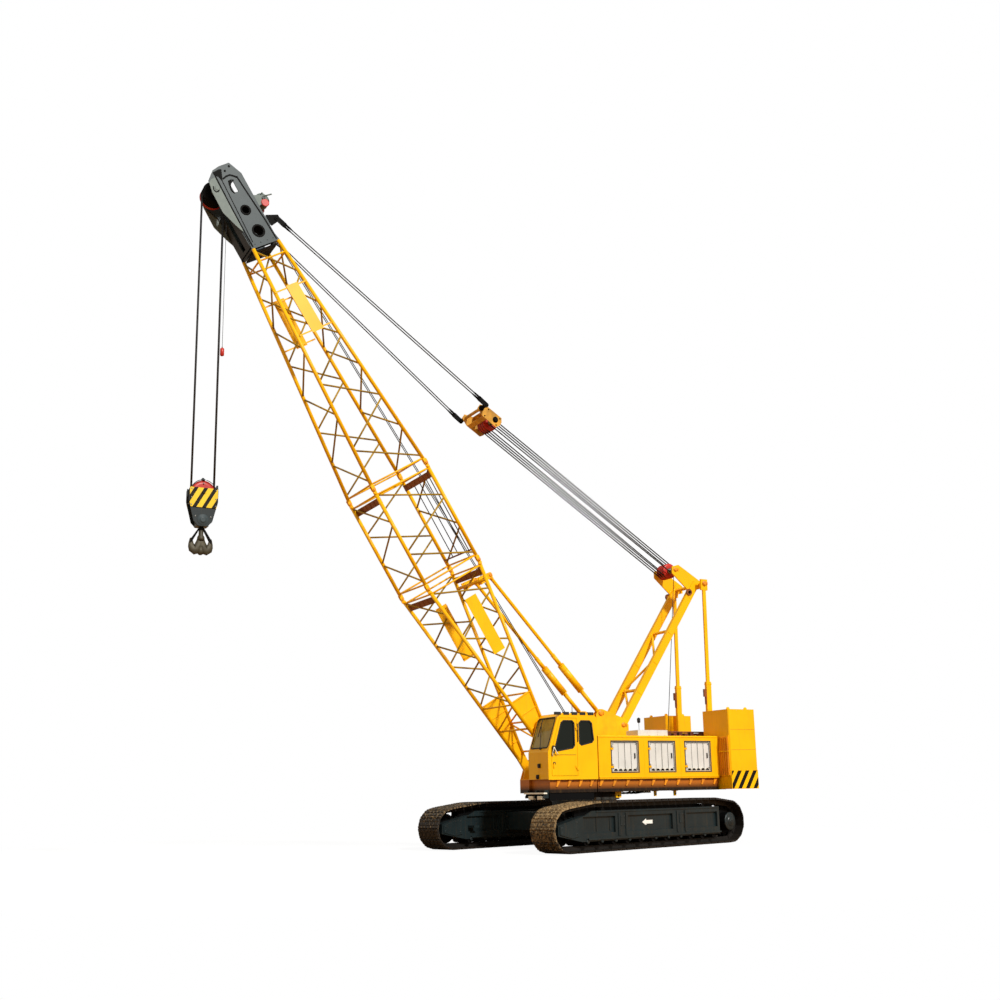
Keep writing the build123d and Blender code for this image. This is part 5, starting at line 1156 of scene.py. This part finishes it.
# Yellow under rope grease: brown clouds and a dull shine.
bail_enamel = surface("crane yellow enamel, stained by rope grease", "#E2A636", rough=0.45, tone="#6E4E22",
                      tone_share=0.75, tone_scale=3.2, dust=0.1, streaks=0.35, bump=0.08, shine=0.3)
rope_top = on_boom(0.469, 16.48, 0.65)
bail_way = (block_spot - bail_spot).normalized()
bail_up = Vector((0, -bail_way.z, bail_way.y))
bm = bmesh.new()
rope_end = bail_spot + aside(0.80)
flat = Vector((0, *(rope_end - rope_top).yz)).normalized()
square = Vector((0, -flat.z, flat.y))
for end, way in ((rope_top, flat), (rope_end, -flat)):
    outline = [(end + way * a + square * b).yz for a, b in (
        (-0.068, -0.03), (-0.068, 0.03), (-0.03, 0.068), (0.28, 0.072), (0.32, 0.05), (0.32, -0.05), (0.28, -0.072),
        (-0.03, -0.068))]
    plate(bm, outline, end.x - 0.014, end.x + 0.014, 1)
    lathe(bm, end + aside(0.012), (1, 0, 0), [(0, 0.042), (0.01, 0.042), (0.014, 0.03)], 16, 1)
for shift in (-0.035, 0.035):
    p, q = rope_top + flat * 0.30 + square * shift, rope_end - flat * 0.30 + square * shift
    run = (q - p).normalized()
    pipe(bm, [p, q], 0.0155, 10)
    for end, way in ((p, run), (q, -run)):
        lathe(bm, end - way * 0.05, way, [(0, 0.030), (0.16, 0.027), (0.26, 0.017)], 14, 1)
mirrored(bm)
piece("pendant_ropes", bm, [greased_rope, near_black_and_gap_shade], "boom", ["pendants"])

paint(["bail"], bail_enamel, 0.006)
bail_centre = bail_spot + bail_way * 0.52
bm = bmesh.new()
tackle_set(bm, bail_centre, 0.475, 0.048, 0.08, 0.22)
piece("bail_sheave_set", bm, [red_enamel, bare_steel], "boom", ["bail_sheaves"])
bm = bmesh.new()
lathe(bm, bail_centre + aside(0.5), (1, 0, 0), [(0, 0.085), (0.016, 0.085), (0.02, 0.05), (0.04, 0.05)], 20)
lathe(bm, bail_spot + aside(0.5), (1, 0, 0), [(0, 0.08), (0.03, 0.08), (0.034, 0.055), (0.265, 0.055)], 20)
bolts(bm, [bail_spot + bail_way * along + bail_up * s + aside(0.5) for along in (0.2, 0.62) for s in (-0.12, 0.12)],
      (1, 0, 0), 0.016, 0.016)
mirrored(bm)
piece("bail_fittings", bm, [near_black_and_gap_shade], "boom")


# Backstops: steel tubes that slide in guide sleeves, with collars at the sleeves' ends and shallow rings round the
# thick part that hides a spring. Yellow enamel, with its darker orange painted-shade copy on the rings and on the eyes
# at the boom's pins.
paint(["backstop_sleeves", "backstop_tubes"], enamel_yellow)
stop_foot, stop_head = Vector((0.45, 0.30, 3.60)), on_boom(0.45, 5.42, 1.15)
stop_way = (stop_head - stop_foot).normalized()
bm = bmesh.new()
for at, r in ((0.83, 0.098), (1.755, 0.098), (2.13, 0.064)):
    lathe(bm, stop_foot + stop_way * at, stop_way, [(0, r - 0.006), (0.005, r), (0.022, r), (0.027, r - 0.006)])
lathe(bm, stop_foot + stop_way * 0.86, stop_way, [(0, 0.0965), (0.89, 0.0965)], 28)
for at in (1.0, 1.3, 1.6):
    lathe(bm, stop_foot + stop_way * at, stop_way, [(0, 0.0975), (0.006, 0.099), (0.012, 0.0975)], 28, 1)
for low, high in ((0.14, 0.83), (1.78, 2.13)):
    pipe(bm, [stop_foot + stop_way * low, stop_foot + stop_way * high], 0.0585, 24)
mirrored(bm)
piece("backstop_sleeve_trim", bm, [enamel_yellow, enamel_shaded], "backstop_lower")
bm = bmesh.new()
lathe(bm, stop_head - stop_way * 0.14, stop_way, [(0, 0.051), (0.03, 0.06), (0.06, 0.06), (0.07, 0.05)], 20)
lathe(bm, stop_head - aside(0.0552), (1, 0, 0), [(0, 0.079), (0.0, 0.06), (0.1104, 0.06), (0.1104, 0.079)], 20, 1,
      closed=False)
mirrored(bm)
piece("backstop_tube_trim", bm, [enamel_yellow, enamel_shaded], "backstop_upper")


# Hoist falls, hook block and hook: four greased ropes drop from the head to two red sheaves between cheeks of thick
# plate. Sprayed black and yellow stripes warn people off; the double hook is forged steel, dull and stained.

# Warning paint on the block: chipped yellow and black bands, nearly matt.
hazard_block = surface("black and yellow warning paint on the hook block", "#F2D13C", rough=0.5, tone="#B98A10",
                       tone_share=0.35, dust=0.1, streaks=0.2, bump=0.06, shine=0.15,
                       stripes=("#16140C", 0.235, 0.55, 0.42))
# Forged steel: a dull brown skin, dark in the hollows.
hook_steel = surface("forged steel, oiled and stained", "#45402E", rough=0.55, metallic=0.3, tone="#24221C",
                     tone_share=0.7, tone_scale=6.0, dust=0.1, bump=0.3, bump_scale=50.0)
block_drop, rope_line = 8.07, 0.2833
block_low = head_axis - Vector((0, 0, block_drop))


def sweep(bm, path, radii, flat=1.0, sides=14, slot=0):
    """A bent bar: rings of the given radii along a path in a plane of constant X, flattened or not across it."""
    rings = []
    for i, p in enumerate(path):
        p = Vector(p)
        before, after = Vector(path[max(0, i - 1)]), Vector(path[min(len(path) - 1, i + 1)])
        way = (after - before).normalized()
        up = Vector((0, -way.z, way.y))
        rings.append([bm.verts.new(p + Vector((radii[i] * flat * math.cos(a), 0, 0)) + up * radii[i] * math.sin(a))
                      for a in (2 * math.pi * k / sides for k in range(sides))])
    for low, high in zip(rings, rings[1:]):
        for k in range(sides):
            m = (k + 1) % sides
            face = bm.faces.new((low[k], low[m], high[m], high[k]))
            face.smooth, face.material_index = True, slot
    bm.faces.new(rings[0][::-1]).material_index = slot
    bm.faces.new(rings[-1]).material_index = slot


def rope_arc(bm, centre, radius, x, start, end, thick=0.013):
    """Rope laid in a sheave's groove: angles are taken from straight ahead, over the top, in degrees."""
    count = max(3, int(abs(end - start) / 15))
    turns = [math.radians(start + (end - start) * k / count) for k in range(count + 1)]
    sweep(bm, [(x, centre.y - radius * math.cos(a), centre.z + radius * math.sin(a)) for a in turns],
          [thick] * len(turns), 1.0, 8)


bm = bmesh.new()
for y in (-rope_line, rope_line):
    pipe(bm, [(0.048, y, 0), (0.048, y, block_drop)], 0.0155, 10)
rope_arc(bm, Vector(), rope_line, 0.048, 0, -180, 0.0155)
mirrored(bm)
# line of the limit switch, which hangs beside the falls and carries a weight
weight_z = 12.66 - block_low.z
pipe(bm, [(0.30, 0.30, weight_z), (0.30, 0.30, block_drop - 0.35)], 0.006, 6)
piece("falls_ropes", bm, [greased_rope], "falls", ["hoist_falls"], move=block_low)
bm = bmesh.new()
lathe(bm, (0.30, 0.30, weight_z - 0.21), (0, 0, 1), [(0, 0.03), (0.02, 0.052), (0.19, 0.052), (0.21, 0.03)], 16)
lathe(bm, (0.30, 0.30, weight_z), (0, 0, 1), [(0, 0.014), (0.04, 0.014)], 8, 1)
piece("limit_weight", bm, [red_enamel, bare_steel], "falls", move=block_low)
bm = bmesh.new()
rope_arc(bm, head_axis, rope_line, 0.048, 0, 180)
rope_arc(bm, head_axis, rope_line, 0.144, 60, 130)
mirrored(bm)
piece("head_rope_wraps", bm, [greased_rope], "boom")

bm = bmesh.new()
plate(bm, [(-0.30, 0.095), (-0.34, 0.12), (-0.36, 0.04), (-0.36, -0.23), (-0.23, -0.74), (-0.12, -0.86),
           (0.12, -0.86), (0.23, -0.74), (0.36, -0.23), (0.36, 0.04), (0.35, 0.20), (0.31, 0.20), (0.28, 0.095)],
      0.131, 0.155)
# striped cover plate with its bolts
plate(bm, [(-0.33, 0.105), (-0.345, 0.085), (-0.345, -0.28), (-0.315, -0.395), (0.315, -0.395), (0.345, -0.28),
           (0.345, 0.085), (0.33, 0.105)], 0.155, 0.175, 2)
lathe(bm, (0.17, 0, 0), (1, 0, 0), [(0, 0.06), (0.012, 0.06), (0.016, 0.04)], 24, 2)
bolts(bm, [(0.172, y, z) for y in (-0.30, 0.30) for z in (0.06, -0.16, -0.34)], (1, 0, 0), 0.016, 0.016, 1)
bolts(bm, [(0.153, y, -0.62) for y in (-0.19, 0.19)], (1, 0, 0), 0.018, 0.018, 1)
# guard that keeps the rope on the sheave
turns = [math.radians(d) for d in range(0, 81, 10)]
for way in (-0.318, 0.318):
    sweep(bm, [(0.135, way * math.cos(a), 0.318 * math.sin(a)) for a in turns], [0.010] * 9, 1.0, 8)
lathe(bm, (0.15, 0, -0.70), (1, 0, 0), [(0, 0.14), (0.012, 0.14), (0.012, 0.07), (0.024, 0.07), (0.028, 0.05)], 24, 3)
mirrored(bm)
for y, z in ((-0.31, -0.28), (0.31, -0.28), (0.0, 0.235)):
    pipe(bm, [(-0.131, y, z), (0.131, y, z)], 0.016, 10, 1)
# eye at the top of the rope guard
block(bm, (-0.135, 0.135), (-0.035, 0.035), (0.312, 0.335))
lathe(bm, (-0.03, 0, 0.36), (1, 0, 0), [(0, 0.036), (0.06, 0.036)], 14)
# crosshead with its thrust bearing
block(bm, (-0.13, 0.13), (-0.15, 0.15), (-0.855, -0.54), 3)
lathe(bm, (0, 0, -0.56), (0, 0, 1), [(0, 0.12), (0.05, 0.12), (0.06, 0.09), (0.12, 0.09), (0.14, 0.06)], 24, 1)
piece("hook_block_frame", bm, [black_enamel, bare_steel, hazard_block, slate_enamel], "falls", ["hook_block"],
      bevel=0.002, move=block_low)
bm = bmesh.new()
for x in (-0.048, 0.048):
    sheave(bm, Vector(), 0.270, 0.307, x, 0.044, holes=8)
pipe(bm, [(-0.128, 0, 0), (0.128, 0, 0)], 0.048, 16, 1)
piece("hook_block_sheaves", bm, [red_enamel, bare_steel], "falls", ["block_sheaves"], move=block_low)

bm = bmesh.new()
lathe(bm, (0, 0, 0.058), (0, 0, -1), [(0, 0.055), (0.06, 0.058), (0.20, 0.058), (0.24, 0.085), (0.30, 0.095),
                                      (0.34, 0.08)], 20)
# each arm of the hook, and its safety catch: a sprung bar from the collar on the shank down to the tip
arm = [(0.0, -0.22, 0.085), (0.010, -0.32, 0.105), (0.040, -0.42, 0.120), (0.090, -0.495, 0.128),
       (0.150, -0.522, 0.120), (0.198, -0.490, 0.104), (0.226, -0.425, 0.082), (0.236, -0.35, 0.062),
       (0.238, -0.28, 0.044), (0.240, -0.225, 0.026)]
for way in (-1, 1):
    sweep(bm, [(0, way * y, z) for y, z, r in arm], [r for y, z, r in arm], 0.5, 18)
    plate(bm, [(way * y, z) for y, z in ((0.030, 0.03), (0.075, 0.02), (0.262, -0.27), (0.262, -0.36), (0.225, -0.33))],
          -0.034, 0.034, 1)
lathe(bm, (0, 0, -0.64), (0, 0, 1), [(0, 0.03), (0.02, 0.06), (0.06, 0.085), (0.22, 0.075)], 18)
lathe(bm, (0, 0, -0.02), (0, 0, 1), [(0, 0.075), (0.05, 0.08), (0.07, 0.06)], 18, 1)
piece("double_hook", bm, [hook_steel, near_black_and_gap_shade], "hook", ["hook"], move=block_low - Vector((0, 0, 0.92)))


# Working ropes: the luffing tackle's parts between bail and gantry, the winch's lead to the gantry, and the hoist
# rope from its drum to the guide sheaves. All are steel wire rope, dark with grease.
bm = bmesh.new()
for x in tackle_rows:
    for out in (-0.211, 0.211):
        pipe(bm, [bail_centre + bail_up * out + aside(x), block_spot + bail_up * out + aside(x)], 0.018)
for side in (-1, 1):
    pipe(bm, [bail_centre - bail_up * side * 0.10 + aside(side * 0.27),
              block_spot - bail_up * side * 0.06 + aside(side * 0.27)], 0.018)
tackle = piece("luffing_tackle", bm, [greased_rope], None)
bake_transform(tackle)
bm = bmesh.new()
for x in (-0.05, 0.03):
    pipe(bm, [(x, 0.12, 2.66), guide - boom_square * 0.185 + aside(x)], 0.0125)
hoist = piece("hoist_ropes", bm, [greased_rope], None)
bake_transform(hoist)
bm = bmesh.new()
pipe(bm, [(0.0, 2.93, 2.76), block_spot + Vector((0.12, 0.20, -0.05))], 0.0095)
for x in tackle_rows:
    rope_arc(bm, block_spot, 0.211, x, 125, 245, 0.0095)
piece("luffing_lead", bm, [greased_rope], "upper")
bm = bmesh.new()
for x in tackle_rows:
    rope_arc(bm, bail_centre, 0.211, x, -55, 60, 0.0125)
# spare stay ropes tied along the insert's upper face, between its end bars
for x in (-0.28, 0.07, 0.49, 0.70):
    pipe(bm, [on_boom(x, 6.30, 0.835), on_boom(x, 8.60, 0.835)], 0.014)
for t in (6.30, 8.60):
    pipe(bm, [on_boom(-0.82, t, 0.835), on_boom(0.82, t, 0.835)], 0.022, 10, 1)
piece("boom_rope_parts", bm, [greased_rope, brown_enamel], "boom")


# Every piece is in place: the limits of all shown parts are reckoned.
low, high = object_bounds()
